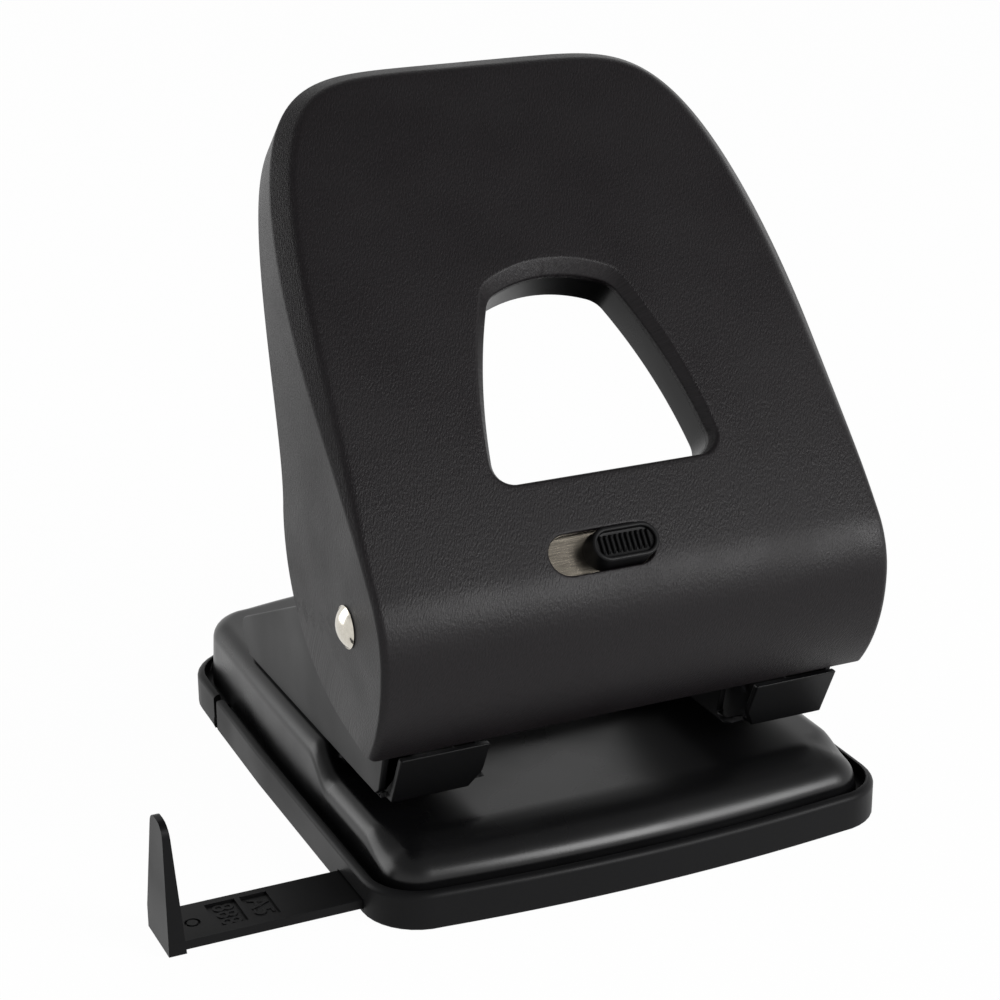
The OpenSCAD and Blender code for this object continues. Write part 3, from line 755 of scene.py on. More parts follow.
@dataclass
class Handle(Assembly):
    """Pressed handle with its bend, skirt, bevelled edge, side flanges, window and lock slot."""

    half_w: float = 56.2
    sheet: float = 1.2
    front: Point2 = (-59.2, 55.5)
    bend_r: float = 20.0
    skirt_r: float = 36.0
    skirt_sweep: float = 39.0
    fold_tilt: float = 45.6
    bevel: float = 3.8
    panel_sweep: float = 5.8
    length: float = 114.2
    crown_len: float = 73.8
    crown_power: float = 5.85
    flange_d: float = 10.2
    flange_rear: float = -6.9
    flange_len: float = 92.0
    knee_rise: float = 12.0
    pivot: Point2 = (-41.0, 57.5)
    pivot_hole: float = 3.1
    fold_r: float = 1.5
    window_lean: float = 0.465
    window_foot: float = 17.2
    window_top: float = 64.4
    window_half_w: float = 25.4
    window_r: Point2 = (4.7, 5.5)
    window_bow: Point2 = (125.0, 29.3)
    window_top_x: float = 11.0
    window_bevel: Point2 = (1.4, 3.1)
    window_drop: float = 2.0
    window_folds: Point2 = (1.1, 0.8)
    liner_depth: float = 10.8
    liner_wall: float = 1.3
    liner_gap: float = 0.03
    slot_start: float = -18.6
    slot_len: float = 23.0
    slot_h: float = 8.5
    slot_s: float = 2.3
    slot_folds: Point2 = (0.4, 0.4)
    reach: float = 150.0

    def __post_init__(self) -> None:
        """Works out the centres of the side view's arcs, and a table of heights along the front."""
        self.bend_c = np.array([self.front[0] + self.bend_r, self.front[1]])
        self.skirt_c = np.array([self.front[0] + self.skirt_r, self.front[1]])
        self.tilt = self.fold_tilt + self.panel_sweep
        self.panel_r = self.bend_r + self.bevel / (1 - math.cos(math.radians(self.panel_sweep)))
        self.panel_c = self.bend_c - (self.panel_r - self.bend_r) * unit(90 + self.tilt)
        self.fold_dir, self.fold_up = unit(self.fold_tilt), unit(90 + self.fold_tilt)
        window_dir = unit(self.fold_tilt + self.window_lean * self.panel_sweep)
        self.bend_run = self.bend_r * math.radians(90 - self.tilt)
        self.low = -self.bend_run - self.skirt_r * math.radians(self.skirt_sweep)
        runs = np.linspace(0, self.reach, int(4 * self.reach) + 1)
        places = np.array([self.profile(s)[0] - self.bend_c for s in runs])
        self.table = np.stack([runs, places @ self.fold_dir, places @ window_dir], axis=1)

    def profile(self, s: float) -> tuple[np.ndarray, np.ndarray]:
        """Side view of the front face.

        Args:
            s: Distance along the face, up from where bend and panel meet.

        Returns:
            The place in y and z, and the outward normal.
        """
        if s >= 0:
            run = self.panel_r * math.radians(self.panel_sweep)
            normal = unit(90 + self.tilt - math.degrees(min(s, run) / self.panel_r))
            return self.panel_c + self.panel_r * normal + max(0.0, s - run) * self.fold_dir, normal
        if s > -self.bend_run:
            normal = unit(90 + self.tilt - math.degrees(s / self.bend_r))
            return self.bend_c + self.bend_r * normal, normal
        normal = unit(180 - math.degrees((s + self.bend_run) / self.skirt_r))
        return self.skirt_c + self.skirt_r * normal, normal

    def place(self, x: float, s: float, h: float = 0.0) -> Point3:
        """Turns a place on the unrolled front into a place in space.

        Args:
            x: Place across.
            s: Distance along the front.
            h: How far it is sunk below the front face.

        Returns:
            The place.
        """
        p, n = self.profile(s)
        q = p - h * n
        return x, float(q[0]), float(q[1])

    def run_at(self, u: float, column: int) -> float:
        """Distance s at the height u of the fold line (column 1) or of the window (column 2)."""
        return float(np.interp(u, self.table[:, column], self.table[:, 0]))

    def on_fold(self, point: np.ndarray) -> np.ndarray:
        """Place of a point in y and z along and above the fold line."""
        return np.array([(point - self.bend_c) @ self.fold_dir, (point - self.bend_c) @ self.fold_up])

    def edge_width(self, s: float) -> float:
        """Width of the bevelled edge, which shrinks to a plain rounded fold at the bend.

        Args:
            s: Distance along the front.

        Returns:
            The width.
        """
        least = 0.586 * self.fold_r
        proud = self.on_fold(self.profile(s)[0])[1] - self.bend_r if s > 0 else -0.1
        return 0.5 * (proud + least + math.sqrt((proud - least) ** 2 + 0.3))

    def outline(self) -> Loop:
        """Edge of the unrolled front.

        Returns:
            The line, from the lower right corner over the top to the lower left.
        """
        shoulder = self.length - self.crown_len
        side = [(self.half_w, s) for s in np.linspace(self.low, self.run_at(shoulder, 1), 64)]
        crown, steps = [], 240
        for i in range(steps + 1):
            a = math.radians(90 * i / steps)
            x = self.half_w * max(math.cos(a), 0.0) ** (2 / self.crown_power)
            crown.append((x, self.run_at(shoulder + self.crown_len * math.sin(a), 1)))
        return mirrored(side[:-1] + resample(crown, 1.4, closed=False), closed=False)

    def window_loop(self, k: float) -> Loop:
        """Window outline on the unrolled front.

        Args:
            k: 0 for the outer edge of its bevel, 1 for the inner edge.

        Returns:
            The loop, anticlockwise, with the same number of points for every k.
        """
        (r0, r1), (side_r, top_r) = self.window_r, self.window_bow
        x = self.window_top_x - self.window_bevel[0] * k
        a = np.array([self.window_half_w - r0 - self.window_bevel[0] * k, self.window_foot + r0])
        t = np.array([0.0, self.window_top - self.window_bevel[1] * k - top_r])
        b = t + (x, math.sqrt((top_r - r1) ** 2 - x * x))
        gap = float(np.linalg.norm(b - a))
        e = (b - a) / gap
        run = (gap**2 + (side_r - r0) ** 2 - (side_r - r1) ** 2) / (2 * gap)
        c = a + run * e - math.sqrt((side_r - r0) ** 2 - run**2) * np.array([e[1], -e[0]])
        turns = [math.degrees(math.atan2(v[1], v[0])) for v in (a - c, b - c, b - t)]
        line = [(a[0] * i / 10, self.window_foot) for i in range(10)]
        line += arc(tuple(a), r0, -90, turns[0], 12)
        line += arc(tuple(c), side_r, turns[0], turns[1], 26)[1:]
        line += arc(tuple(b), r1, turns[1], turns[2], 10)[1:]
        line += arc(tuple(t), top_r, turns[2], 90, 12)[1:]
        return mirrored([(x, self.run_at(u, 2)) for x, u in line])

    def flange_foot(self) -> np.ndarray:
        """Lower and rear edge of the flange.

        Returns:
            Places along and above the fold line.
        """
        low = self.skirt_c + self.skirt_r * unit(180 + self.skirt_sweep)
        knee = np.array([self.flange_rear, self.pivot[1] + self.knee_rise])
        end = self.bend_c + (self.bend_r - self.flange_d) * self.fold_up + self.flange_len * self.fold_dir
        edge = [low, low + (5.3, 0.85)]
        # Two cubic curves, to the knee behind the pivot and on to the flange's upper end.
        for a, b, c, d in (
            (low + (13.2, 2.45), low + (28.9, 5.6), knee - (0, 20), knee),
            (knee, knee + (-2.4, 18), end - 18 * self.fold_dir, end),
        ):
            for t in np.linspace(0, 1, 33):
                edge.append(
                    (1 - t) ** 3 * a + 3 * t * (1 - t) ** 2 * b + 3 * t * t * (1 - t) * c + t**3 * d
                )
        edge.append(end + 80 * self.fold_dir)
        return np.array([self.on_fold(p) for p in edge])

    def hole_rows(
        self, outer: Loop, inner: Loop, deep: float, radii: Point2, lead: float
    ) -> tuple[Loop, list[list[Point3]]]:
        """Rolled edge of an opening, down to the back of the sheet.

        Args:
            outer: Opening at the front face.
            inner: Opening at the depth of its bevel, with the same number of points.
            deep: Depth of the bevel.
            radii: Rounding of the upper and lower fold.
            lead: Distance outside the opening where the rounding's first row lies.

        Returns:
            The first row as a flat loop, and all rows in space.
        """
        o, i = np.array(outer), np.array(inner)
        e = normals_2d(outer)
        width = np.maximum(np.einsum("ij,ij->i", i - o, e), 0.0)
        slip = (i - o) - width[:, None] * e
        lines = []
        for w in width:
            wall = [(w, deep), (w, deep + self.sheet)] if deep > 0 else [(0, self.sheet)]
            lines.append(fillet([(-lead, 0), (0, 0), *wall], radii, 5))
        rows = []
        for step in range(len(lines[0])):
            row = []
            for j, line in enumerate(lines):
                a, h = line[step]
                share = max(0.0, min(1.0, a / width[j])) if width[j] > 1e-6 else 0.0
                x, s = o[j] + a * e[j] + share * slip[j]
                row.append(self.place(x, s, h))
            rows.append(row)
        return [tuple(p) for p in o - lead * e], rows

    def shell(self) -> Obj:
        """Builds the pressed sheet.

        Returns:
            The sheet.
        """
        maker = MeshMaker("handle_sheet")
        edge = self.outline()
        foot = self.flange_foot()
        sections, flanges, inner = [], [], []
        for (x, s), (dx, ds) in zip(edge, normals_2d(edge, closed=False)):
            b = self.edge_width(s)
            line = [(0, b + 0.75), (0, b), (b, 0), (b + 3.2, 0)]
            line = fillet(line, (self.fold_r, min(3.0, 1.7 * b)), 6)
            section = [self.place(x + d * dx, s + d * ds, h) for d, h in line]
            sections.append(section)
            inner.append((x + line[-1][0] * dx, s + line[-1][0] * ds))
            top = np.array(section[0])
            u, n = self.on_fold(top[1:])
            end = min(float(np.interp(u, foot[:, 0], foot[:, 1])), n - 0.05)
            column = [top[1:] + t * (end - n) * self.fold_up for t in np.linspace(0, 1, 13)]
            flanges.append([(top[0], *q) for q in column])
        maker.loft(sections, closed=False)
        maker.loft(flanges, closed=False)
        # The lower corners, between the rounded fold and the foot of the flange.
        for section, column in ((sections[0], flanges[0]), (sections[-1], flanges[-1])):
            for a, b in zip(section[:7], section[1:8]):
                maker.cap((a, b, column[-1]))
        half = inner[0][0]
        outer = inner + [(x, self.low) for x in np.linspace(-half, half, 46)[1:-1]]
        window, window_rows = self.hole_rows(
            self.window_loop(0), self.window_loop(1), self.window_drop, self.window_folds, 1.6
        )
        slot = resample(self.slot_outline(), 0.7)
        slot_edge, slot_rows = self.hole_rows(slot, slot, 0.0, self.slot_folds, 0.9)
        maker.loft(window_rows)
        maker.loft(slot_rows)
        across, along = np.arange(-54, 54.1, 2.4), np.arange(self.low + 1.3, self.length + 4, 1.9)
        holes = [window, slot_edge]
        seeds = seeds_within([(x, s) for s in along for x in across], outer, holes, 1.1)
        maker.fill(outer, holes, seeds, self.place)
        obj = maker.make(POWDER_COAT, smooth=60, weld=0.002)
        p, n = self.profile(80.0)
        thicken(obj, self.sheet, (0.0, *p), (0.0, *n), even=True)
        self.drill(obj)
        shade(obj, 38)
        self.lay_flat(obj)
        return obj

    def lay_flat(self, obj: Obj) -> None:
        """Stores each point's place on the unrolled sheet, for the grain of the coat.

        Args:
            obj: The finished sheet.
        """
        runs = np.linspace(self.low, self.length + 6, 900)
        line = np.array([self.profile(s)[0] for s in runs])
        flat = np.zeros((len(obj.data.vertices), 3), np.float32)
        for i, v in enumerate(obj.data.vertices):
            gap = np.hypot(line[:, 0] - v.co.y / MM, line[:, 1] - v.co.z / MM)
            near = int(np.argmin(gap))
            # A flange goes on from the edge that it hangs from.
            flat[i] = (v.co.x + math.copysign(gap[near] * MM, v.co.x), runs[near] * MM, 0.0)
        layer = obj.data.attributes.new(FLAT, "FLOAT_VECTOR", "POINT")
        layer.data.foreach_set("vector", flat.ravel())

    def drill(self, obj: Obj) -> None:
        """Cuts the pivot holes through both flanges.

        Args:
            obj: The handle's sheet.
        """
        maker = MeshMaker("pivot_drill")
        ring = arc(self.pivot, self.pivot_hole, 0, 360, 40)[:-1]
        maker.solid([[(x, *p) for p in ring] for x in (-70.0, 70.0)])
        tool = maker.make(POWDER_COAT)
        add_modifier(obj, "BOOLEAN", operation="DIFFERENCE", object=tool, solver="EXACT")
        settle(obj)
        bpy.data.objects.remove(tool)

    def slot_outline(self) -> Loop:
        """Rounded slot of the lock on the unrolled front.

        Returns:
            The loop.
        """
        r = self.slot_h / 2
        right = arc((self.slot_start + self.slot_len - r, self.slot_s), r, -90, 90, 20)
        return right + arc((self.slot_start + r, self.slot_s), r, 90, 270, 20)

    def liner(self) -> Obj:
        """Builds the smooth moulded wall inside the window.

        Returns:
            The liner.
        """
        maker = MeshMaker("window_frame_liner")
        loop = self.window_loop(1)
        ring = list(zip(loop, -normals_2d(loop)))
        top = self.window_drop + self.sheet + self.liner_gap
        t, d = self.liner_wall, self.liner_depth
        line = fillet([(0, top), (0, d), (t, d), (t, top)], (0.5, 0.5), 4)
        rows = [[self.place(x + a * ox, s + a * os, h) for (x, s), (ox, os) in ring] for a, h in line]
        maker.loft(rows, around=True)
        return maker.make(LINER_ABS)

    def build(self) -> None:
        """Makes and seats the handle's pieces."""
        seat(self.shell(), Body.HANDLE, "handle_paint", "handle_shell")
        seat(self.liner(), Body.HANDLE, "liner_plastic", "window_liner")
        self.dress(TOOL_STEEL, "press_bar", "lock_keeper")


@dataclass
class Base(Assembly):
    """Drawn base with its paper table, platform, brackets, rivets and pivot pins."""

    half_w: float = 54.7
    front: float = -59.1
    rear: float = 63.4
    front_bow: float = 2.5
    rear_bow: float = 5.0
    front_corner: float = 8.6
    rear_corner: float = 11.0
    taper: float = 1.3
    taper_y: float = -10.0
    draft: float = 0.5
    low: float = 5.2
    table_z: float = 14.5
    deck_z: float = 20.0
    stop_y: float = -15.0
    stop_r: float = 1.6
    stop_draft: float = 0.15
    ramp_y: Point2 = (-21.0, -12.0)
    ramp_x: Point2 = (46.0, 51.5)
    front_shoulder: Point2 = (13.0, 7.0)
    side_shoulder: Point2 = (4.0, 5.0)
    deck_shoulder: Point2 = (4.0, 4.0)
    front_blend: Point2 = (-42.0, -52.0)
    deck_blend: Point2 = (-22.0, -8.0)
    lofted: float = 4.6
    sheet: float = 1.5
    hole: Point3 = (40.0, -27.0, 2.8)
    rivet_y: Point2 = (3.0, 22.0)
    web_top: float = 21.5
    pivot: Point2 = (-41.0, 57.5)
    pivot_r: float = 3.0
    head: Point2 = (8.7, 1.9)
    head_x: float = 56.3
    bracket_in: float = 27.85
    lip_inset: float = 2.55
    lip_rise: float = 4.0
    lip_y: float = -42.0
    fold_r: float = 3.0

    def outline(self) -> Loop:
        """Plan outline of the base.

        Returns:
            The loop, anticlockwise from the middle of the front edge.
        """
        front_x, rear_x = self.half_w - self.front_corner, self.half_w - self.taper - self.rear_corner
        rear_y = self.rear - self.rear_corner
        run = np.linspace(0, 1, 24)
        right = [(front_x * t, self.front - self.front_bow * (1 - t * t)) for t in run]
        right += arc((front_x, self.front + self.front_corner), self.front_corner, -80, 0, 24)
        right += [
            (self.half_w - self.taper * t * t, self.taper_y + (rear_y - self.taper_y) * t) for t in run[:-1]
        ]
        swing = 90 - math.degrees(math.atan(2 * self.rear_bow / rear_x))
        right += arc((rear_x, rear_y), self.rear_corner, 0, swing, 28)
        right += [(rear_x * t, self.rear + self.rear_bow * (1 - t * t)) for t in np.linspace(1, 0, 24)]
        return resample(mirrored(right), 1.5)

    def top(self, x: float, y: float) -> float:
        """Height of the top face, with the paper stop in the middle and a soft ramp at the flanks.

        Args:
            x: Place across.
            y: Place along the base.

        Returns:
            The height.
        """
        past, rise = y - self.stop_y, self.deck_z - self.table_z
        if past < -self.stop_draft:
            wall = 0.0
        elif past < 0:
            wall = (rise - self.stop_r) * (past + self.stop_draft) / self.stop_draft
        else:
            t = min(1.0, past / self.stop_r)
            wall = rise - self.stop_r + self.stop_r * math.sqrt(1 - (1 - t) ** 2)
        ramp = rise * smoothstep(y, *self.ramp_y)
        side = smoothstep(abs(x), *self.ramp_x)
        return self.table_z + wall * (1 - side) + ramp * side

    def drop(self, d: float, y: float) -> float:
        """How far the drawn shoulder has fallen from the top face.

        Args:
            d: Distance from the flank, inwards.
            y: Place along the base.

        Returns:
            The fall in millimetres, of a quarter ellipse that is widest along the front.
        """
        front, deck = smoothstep(y, *self.front_blend), smoothstep(y, *self.deck_blend)
        wide, high = (
            s + (f - s) * front + (k - s) * deck
            for f, s, k in zip(self.front_shoulder, self.side_shoulder, self.deck_shoulder)
        )
        t = 1 - min(1.0, max(0.0, d) / wide)
        return high * (1 - math.sqrt(1 - t * t))

    def sheet_metal(self) -> Obj:
        """Builds the drawn base.

        Returns:
            The base.
        """
        maker = MeshMaker("base_sheet")
        loop = np.array(self.outline())
        steps = self.lofted * np.linspace(0, 1, 18) ** 2
        rows: list[list[Point3]] = [[] for _ in range(len(steps) + 1)]
        for (x, y), (nx, ny) in zip(loop, normals_2d(loop)):
            rows[0].append((x, y, self.low))
            for row, d in zip(rows[1:], steps):
                px, py = x + (d + self.draft) * nx, y + (d + self.draft) * ny
                row.append((px, py, self.top(px, py) - self.drop(d, y)))
        maker.loft(rows)
        inner = [(p[0], p[1]) for p in rows[-1]]
        along = np.roll(loop, -1, axis=0) - loop

        def face(x: float, y: float) -> Point3:
            """Finds the place on the top face by its distance from the outline.

            Args:
                x: Place across.
                y: Place along the base.

            Returns:
                The place.
            """
            t = np.clip(((np.array((x, y)) - loop) * along).sum(1) / (along * along).sum(1), 0, 1)
            near = loop + along * t[:, None]
            d = float(np.min(np.hypot(near[:, 0] - x, near[:, 1] - y))) - self.draft
            return x, y, self.top(x, y) - self.drop(d, y)

        holes = []
        for side in Side:
            ring = arc((side.value * self.hole[0], self.hole[1]), self.hole[2], 0, 360, 36)[:-1]
            holes.append(ring)
            maker.loft([[(x, y, face(x, y)[2] - d) for x, y in ring] for d in (0.0, self.sheet)])
        # Rows of points lie close along the paper stop and the table, and apart on the flat platform.
        stop = [np.linspace(-15.3, -13.2, 15), np.arange(-22, -15.5, 0.8), np.arange(-12.6, -9, 0.8)]
        grids = (
            (np.concatenate(stop), np.arange(-48.0, 48.1, 1.6)),
            (np.arange(-58, -22.5, 1.4), np.arange(-50, 50.1, 2.0)),
            (np.arange(-8, 66, 4.0), np.arange(-50, 50.1, 4.0)),
        )
        points = [(x, y) for ys, xs in grids for y in ys for x in xs]
        maker.fill(inner, holes, seeds_within(points, inner, holes, 0.5), face)
        obj = maker.make(SATIN_ENAMEL, smooth=50, weld=0.002)
        thicken(obj, self.sheet, (0.0, 20.0, self.deck_z), (0.0, 0.0, 1.0), even=False)
        shade(obj, 50)
        return obj

    def pivot_pin(self, side: Side) -> Obj:
        """Turns one pivot pin with its domed head.

        Args:
            side: Which side of the punch.

        Returns:
            The pin.
        """
        maker = MeshMaker(f"pivot_rivet_{side.name.lower()}")
        radius, height = self.head[0] / 2, self.head[1]
        ball = (radius**2 + height**2) / (2 * height)
        half = math.degrees(math.asin(radius / ball))
        line = [(self.bracket_in - 1.3, 0.02), (self.bracket_in - 1.3, self.pivot_r + 0.9)]
        line += [(self.bracket_in - 1.0, self.pivot_r + 1.2), (self.bracket_in, self.pivot_r + 1.2)]
        line += [(self.bracket_in, self.pivot_r), (self.head_x, self.pivot_r)]
        line += [(self.head_x, radius - 0.12), (self.head_x + 0.12, radius)]
        line += [
            (self.head_x + height - ball + ball * math.cos(a), ball * math.sin(a))
            for a in np.radians(np.linspace(half * 0.97, 0.3, 14))
        ]
        (y, z), ring = self.pivot, np.radians(np.arange(0, 360, 7.5))
        maker.solid([
            [(side.value * x, y + r * math.cos(a), z + r * math.sin(a)) for a in ring] for x, r in line
        ])
        return maker.make(NICKEL, smooth=35)

    def fold_share(self, mid: Vector, outward: float) -> float:
        """Share of the rounding that a bracket's edge takes: all of it at the lip's free corner.

        Args:
            mid: Middle of the edge in millimetres.
            outward: How far its faces look away from the middle of the punch; not needed here.

        Returns:
            The share.
        """
        past, rise = abs(mid.x) - self.bracket_in, mid.z - self.deck_z
        lip = abs(past - self.lip_inset) < 0.1 and abs(rise - self.lip_rise) < 0.6
        web = abs(past) < 0.1 and self.deck_z < mid.z < self.web_top
        return 1.0 if (lip or web) and mid.y < self.lip_y else 0.13

    def rivets(self) -> Obj:
        """Sets the four bracket rivets with a node tree.

        Returns:
            The rivets.
        """
        spots = MeshMaker("bracket_rivet_heads")
        spots.add((s.value * self.hole[0], y, self.web_top) for s in Side for y in self.rivet_y)
        head = MeshMaker("rivet_head")
        line = [(2.5, -4.2), (2.5, -0.02), (3.85, 0.0), (3.95, 0.25)]
        line += [(5.2 * math.sin(a), 5.2 * math.cos(a) - 3.4) for a in np.radians([46, 38, 29, 20, 10, 1])]
        ring = np.radians(np.arange(0, 360, 15))
        head.loft([[(r * math.cos(a), r * math.sin(a), z) for a in ring] for r, z in line])
        return scatter(spots, head, BRACKET_COAT)

    def build(self) -> None:
        """Makes and seats the base's pieces."""
        seat(self.sheet_metal(), Body.BASE, "base_paint", "base_plate")
        for side in Side:
            name = f"bracket_{side.name.lower()}"
            piece = rounded_copy(
                self.node(name), f"{name}_folded", BRACKET_COAT, self.fold_r, 5, self.fold_share
            )
            seat(piece, Body.BASE, "bracket_paint", name)
            seat(self.pivot_pin(side), Body.BASE, "nickel", f"pivot_pin_{side.name.lower()}")
        seat(self.rivets(), Body.BASE, "bracket_paint", "bracket_rivets")
        self.dress(TOOL_STEEL, "guide_strap_left", "guide_strap_right")
        self.dress(NYLON, "pivot_washers")


@dataclass
class Lock(Assembly):
    """Ribbed slide button and the plated latch behind it."""

    centre: Point2 = (-39.2, 55.5)
    tilt: float = 51.4
    end_x: float = 4.1
    length: float = 14.4
    height: float = 7.0
    s: float = 2.3
    foot: float = 17.7
    top: float = 23.0
    rim: float = 0.9
    sink: float = 0.8
    flare: float = 0.6
    ribs: int = 10
    rib_w: float = 0.55
    rib_h: float = 0.5
    rib_crown: float = 0.22
    rib_end: float = 1.5
    rib_inset: float = 1.55

    def place(self, x: float, u: float, n: float) -> Point3:
        """Place of a point at x, at u up the panel and n out of it."""
        y, z = np.array(self.centre) + u * unit(self.tilt) + n * unit(90 + self.tilt)
        return x, float(y), float(z)

    def ring(self, inset: float) -> Loop:
        """Outline of the button.

        Args:
            inset: How far it is drawn inwards.

        Returns:
            The loop.
        """
        r = self.height / 2 - inset
        right = self.end_x - max(r, self.height / 2)
        left = self.end_x - self.length + max(r, self.height / 2)
        return arc((right, self.s), r, -90, 90, 18) + arc((left, self.s), r, 90, 270, 18)

    def button(self) -> Obj:
        """Builds the button's body.

        Returns:
            The body.
        """
        maker = MeshMaker("slide_button_body")
        floor = self.top - self.sink
        line = [(-self.flare, self.foot), (0.0, self.top), (self.rim, self.top), (self.rim, floor)]
        line = fillet([*line, (self.rim + 0.8, floor)], (0.4, 0.3, 0.25), 4)
        maker.solid([[self.place(x, u, n) for x, u in self.ring(inset)] for inset, n in line])
        return maker.make(SATIN_ABS, smooth=40)

    def grip(self) -> Obj:
        """Repeats one rib along the button with a node tree.

        Returns:
            The ribs.
        """
        start = self.end_x - self.length + self.rib_end
        pitch = (self.length - 2 * self.rib_end) / self.ribs
        spots = MeshMaker("slide_button_ribs")
        spots.add(
            self.place(start + (i + 0.5) * pitch, self.s, self.top - self.sink) for i in range(self.ribs)
        )
        rib = MeshMaker("button_rib")
        half, w = self.height / 2 - self.rib_inset, self.rib_w / 2
        crown = np.radians([150, 120, 90, 60, 30])
        rows = []
        for u in np.linspace(-half, half, 9):
            ease = min(1.0, (half - abs(u)) / 0.5 + 0.25)
            line = [(-w, -0.1), (-w, self.rib_h * ease)]
            line += [(w * math.cos(a), (self.rib_h + self.rib_crown * math.sin(a)) * ease) for a in crown]
            line += [(w, self.rib_h * ease), (w, -0.1)]
            rows.append([(x, *(u * unit(self.tilt) + rise * unit(90 + self.tilt))) for x, rise in line])
        rib.solid(rows, closed=False)
        return scatter(spots, rib, SATIN_ABS)

    def build(self) -> None:
        """Makes and seats the lock's pieces."""
        seat(self.button(), Body.LOCK, "button_plastic", "lock_button")
        seat(self.grip(), Body.LOCK, "button_plastic")
        # The plate's darkened zinc colour is painted shade for the slot that it sits in.
        self.dress(BRUSHED_ZINC_PAINTED_SHADE, "lock_plate")


@dataclass
class Tray(Assembly):
    """Chip tray with its rim, the fixed rear strip and the pull-out paper guide."""

    rim_round: float = 1.5
    rim_z: float = 8.0
    guide_round: float = 0.5
    marks: tuple[tuple[str, float, float], ...] = (("888", -84.2, 4.4), ("A5", -77.2, 4.2))
    mark_em: float = 1.36
    mark_rise: float = 0.1
    mark_bevel: float = 0.07
    mark_room: float = 8.0
    mark_y: float = -43.9
    mark_z: float = 2.6

    def edge_share(self, mid: Vector, outward: float) -> float:
        """Share of the full rounding that an edge takes.

        Args:
            mid: Middle of the edge in millimetres.
            outward: How far its faces look away from the middle of the punch.

        Returns:
            1 for the outer top edge of the rim, and less for others.
        """
        outer = outward > 0.2
        if abs(mid.z - self.rim_z) < 0.05:
            return 1.0 if outer else 0.14
        return 0.3 if mid.z < 0.1 and outer else 0.0

    def mark(self, text: str, x: float, size: float) -> Obj:
        """Moulds one raised format mark in a cell of the guide.

        Args:
            text: The mark.
            x: Middle of the cell.
            size: Height of the letters.

        Returns:
            The mark, which reads from the guide's left end.
        """
        name = f"guide_mark_{text}"
        curve = bpy.data.curves.new(name, "FONT")
        curve.body, curve.size = text, size * self.mark_em * MM
        curve.align_x, curve.align_y = "CENTER", "CENTER"
        curve.extrude, curve.bevel_depth = self.mark_rise * MM, self.mark_bevel * MM
        curve.bevel_resolution = 1
        drawn = new_object(name, curve)
        graph = bpy.context.evaluated_depsgraph_get()
        mesh = bpy.data.meshes.new_from_object(drawn.evaluated_get(graph))
        bpy.data.objects.remove(drawn)
        turn = Matrix.Rotation(math.radians(-90), 4, "Z")
        wide = max(v.co.x for v in mesh.vertices) - min(v.co.x for v in mesh.vertices)
        mesh.transform(Matrix.Diagonal((min(1.0, self.mark_room * MM / wide), 1.0, 1.0, 1.0)))
        mesh.transform(Matrix.Translation(Vector((x, self.mark_y, self.mark_z)) * MM) @ turn)
        mesh.materials.clear()
        mesh.materials.append(SATIN_ABS.material())
        return new_object(name, mesh)

    def build(self) -> None:
        """Makes and seats the tray's pieces."""
        for name, body in (("chip_tray", Body.TRAY), ("tray_rear", Body.BASE)):
            piece = rounded_copy(
                self.node(name), f"{name}_moulded", GRAINED_ABS, self.rim_round, 5, self.edge_share
            )
            seat(piece, body, "tray_plastic", name)
        guide = rounded_copy(self.node("paper_guide"), "paper_guide_moulded", SATIN_ABS, self.guide_round)
        seat(guide, Body.GUIDE, "guide_plastic", "paper_guide")
        for text, x, size in self.marks:
            seat(self.mark(text, x, size), Body.GUIDE, "guide_plastic")


@dataclass
class Punches(Assembly):
    """Punch pins with their clips and return springs."""

    x: float = 40.0
    y: float = -27.0
    low: float = 43.55
    top: float = 57.95
    wire: float = 0.9
    coil_r: float = 4.0
    turns: int = 5
    turn_steps: int = 28
    pressed: float = 8.14

    def spring(self, side: Side) -> Obj:
        """Winds one return spring.

        Args:
            side: Which side of the punch.

        Returns:
            The spring.
        """
        maker = MeshMaker(f"return_spring_{side.name.lower()}")
        x, steps = side.value * self.x, self.turns * self.turn_steps
        rise = self.top - self.low - self.wire
        wire = arc((self.coil_r, 0.0), self.wire / 2, 0, 360, 10)[:-1]
        rows = []
        for i in range(steps + 1):
            a = math.radians(360 * self.turns * i / steps)
            z = self.low + self.wire / 2 + rise * i / steps
            rows.append([(x + r * math.cos(a), self.y + r * math.sin(a), z + h) for r, h in wire])
        maker.solid(rows)
        return maker.make(SPRING_WIRE, smooth=50)

    def build(self) -> None:
        """Makes and seats the springs, and dresses the pins and clips."""
        for side in Side:
            name = side.name.lower()
            coil = seat(self.spring(side), Body.BASE, "bare_steel", f"punch_spring_{name}")
            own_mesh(coil)
            self.dress(TOOL_STEEL, f"punch_{name}", f"punch_clip_{name}")


def seen_share(tree: Tree) -> Socket:
    """Adds nodes that tell rays that see, mirror or pass through from rays that only light.

    Args:
        tree: Tree that gets the nodes.

    Returns:
        Socket with 1 for the first kind and 0 for the second.
    """
    path = add_node(tree, "ShaderNodeLightPath").outputs
    share = path["Is Camera Ray"]
    for kind in ("Is Transmission Ray", "Is Glossy Ray"):
        either = {"operation": "MAXIMUM"}
        share = add_node(tree, "ShaderNodeMath", either, n0=share, n1=path[kind]).outputs[0]
    return share


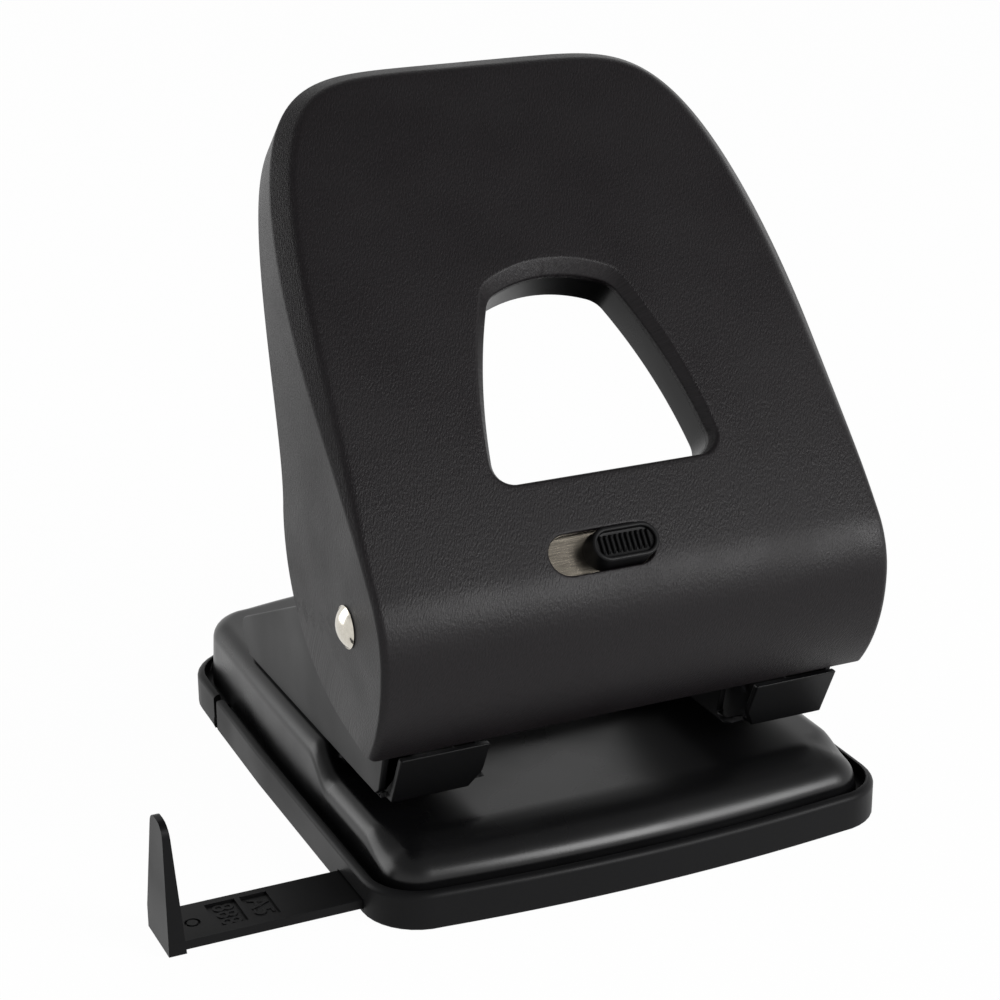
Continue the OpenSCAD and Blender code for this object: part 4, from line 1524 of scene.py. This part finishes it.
@dataclass
class Studio:
    """Camera at the photo's angle, soft lights, white floor and background."""

    place: Point3 = (-0.2145, -0.4542, 0.2497)
    yaw: float = 24.82
    rise: float = 20.62
    roll: float = -0.28
    lens: float = 89.55
    sensor: float = 36.0
    # The ceiling over a white table is darker than the walls, so the surround fades upwards between these
    # heights of a direction, from the first level to the second, as it lights and as it is seen.
    fade: Point2 = (0.3, 0.75)
    lit: Point2 = (0.5, 0.15)
    seen: Point2 = (1.0, 0.35)
    floor_r: float = 3000.0
    floor_z: float = -0.05
    floor_share: float = 0.98
    aim: Point3 = (0.0, 0.0, 0.06)
    # Name, place, and width and height of each soft box in metres, and its power in watts.
    boxes: tuple[tuple[str, Point3, Point2, float], ...] = (
        ("left_soft_box", (-0.95, 0.75, 0.35), (0.8, 0.8), 5.2),
        ("front_soft_box", (0.5, -0.86, 0.52), (0.5, 0.45), 10.5),
    )

    def camera(self) -> None:
        """Sets the camera."""
        data = bpy.data.cameras.new("camera")
        data.lens, data.sensor_width, data.clip_start = self.lens, self.sensor, 0.01
        obj = new_object("camera", data)
        y, p, r = (math.radians(a) for a in (self.yaw, self.rise, self.roll))
        back = Vector((-math.sin(y) * math.cos(p), -math.cos(y) * math.cos(p), math.sin(p)))
        right = Vector((math.cos(y), -math.sin(y), 0))
        up = back.cross(right)
        right, up = math.cos(r) * right + math.sin(r) * up, -math.sin(r) * right + math.cos(r) * up
        turn = Matrix((right, up, back)).transposed().to_4x4()
        obj.matrix_world = Matrix.Translation(Vector(self.place)) @ turn
        bpy.context.scene.camera = obj

    def lamp(self, name: str, place: Point3, size: Point2, power: float) -> None:
        """Adds one soft box that points at the punch.

        Args:
            name: Name of the lamp.
            place: Where it stands, in metres.
            size: Width and height in metres.
            power: Power in watts.
        """
        data = bpy.data.lights.new(name, "AREA")
        data.shape, data.energy = "RECTANGLE", power
        data.size, data.size_y = size
        obj = new_object(name, data)
        obj.location = place
        obj.rotation_euler = (Vector(self.aim) - Vector(place)).to_track_quat("-Z", "Y").to_euler()

    def world(self) -> None:
        """Makes a white surround with a dim ceiling; it lights more softly than it is seen."""
        world = bpy.data.worlds.new("studio")
        tree = bare_tree(world)
        coord = add_node(tree, "ShaderNodeTexCoord")
        split = add_node(tree, "ShaderNodeSeparateXYZ", None, Vector=coord.outputs["Generated"])
        lit, seen = (
            add_node(
                tree, "ShaderNodeBackground", {"in:Color": linear(WHITE)},
                Strength=remap(tree, split.outputs["Z"], self.fade, levels),
            ).outputs[0]
            for levels in (self.lit, self.seen)
        )
        mix = add_node(tree, "ShaderNodeMixShader", None, Fac=seen_share(tree), n1=lit, n2=seen)
        add_node(tree, "ShaderNodeOutputWorld", None, Surface=mix.outputs[0])
        bpy.context.scene.world = world

    def floor(self) -> None:
        """Lays a white paper floor that keeps a faint shadow."""
        maker = MeshMaker("floor")
        r, z = self.floor_r, self.floor_z
        maker.cap([(-r, -r, z), (r, -r, z), (r, r, z), (-r, r, z)])
        obj = maker.make(NYLON)
        material = bpy.data.materials.new("white_paper_sweep")
        tree = bare_tree(material)
        part = {"operation": "MULTIPLY", "in:1": self.floor_share}
        share = add_node(tree, "ShaderNodeMath", part, n0=seen_share(tree)).outputs[0]
        paper = add_node(tree, "ShaderNodeBsdfDiffuse", {"in:Color": linear("#f4f4f4")}).outputs[0]
        white = {"in:Color": linear(WHITE), "in:Strength": 1.0}
        glow = add_node(tree, "ShaderNodeEmission", white).outputs[0]
        mix = add_node(tree, "ShaderNodeMixShader", None, Fac=share, n1=paper, n2=glow)
        add_node(tree, "ShaderNodeOutputMaterial", None, Surface=mix.outputs[0])
        obj.data.materials.clear()
        obj.data.materials.append(material)

    def build(self) -> None:
        """Sets up camera, surround, floor and lights."""
        bpy.context.scene.view_settings.view_transform = "Standard"
        self.camera()
        self.world()
        self.floor()
        for box in self.boxes:
            self.lamp(*box)


def main() -> None:
    """Builds the dressed punch."""
    logging.basicConfig(level=logging.INFO, format="%(name)s: %(message)s")
    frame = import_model()
    Studio().build()
    for kind in (Base, Handle, Lock, Tray, Punches):
        kind(frame).build()


if __name__ == "__main__":
    main()
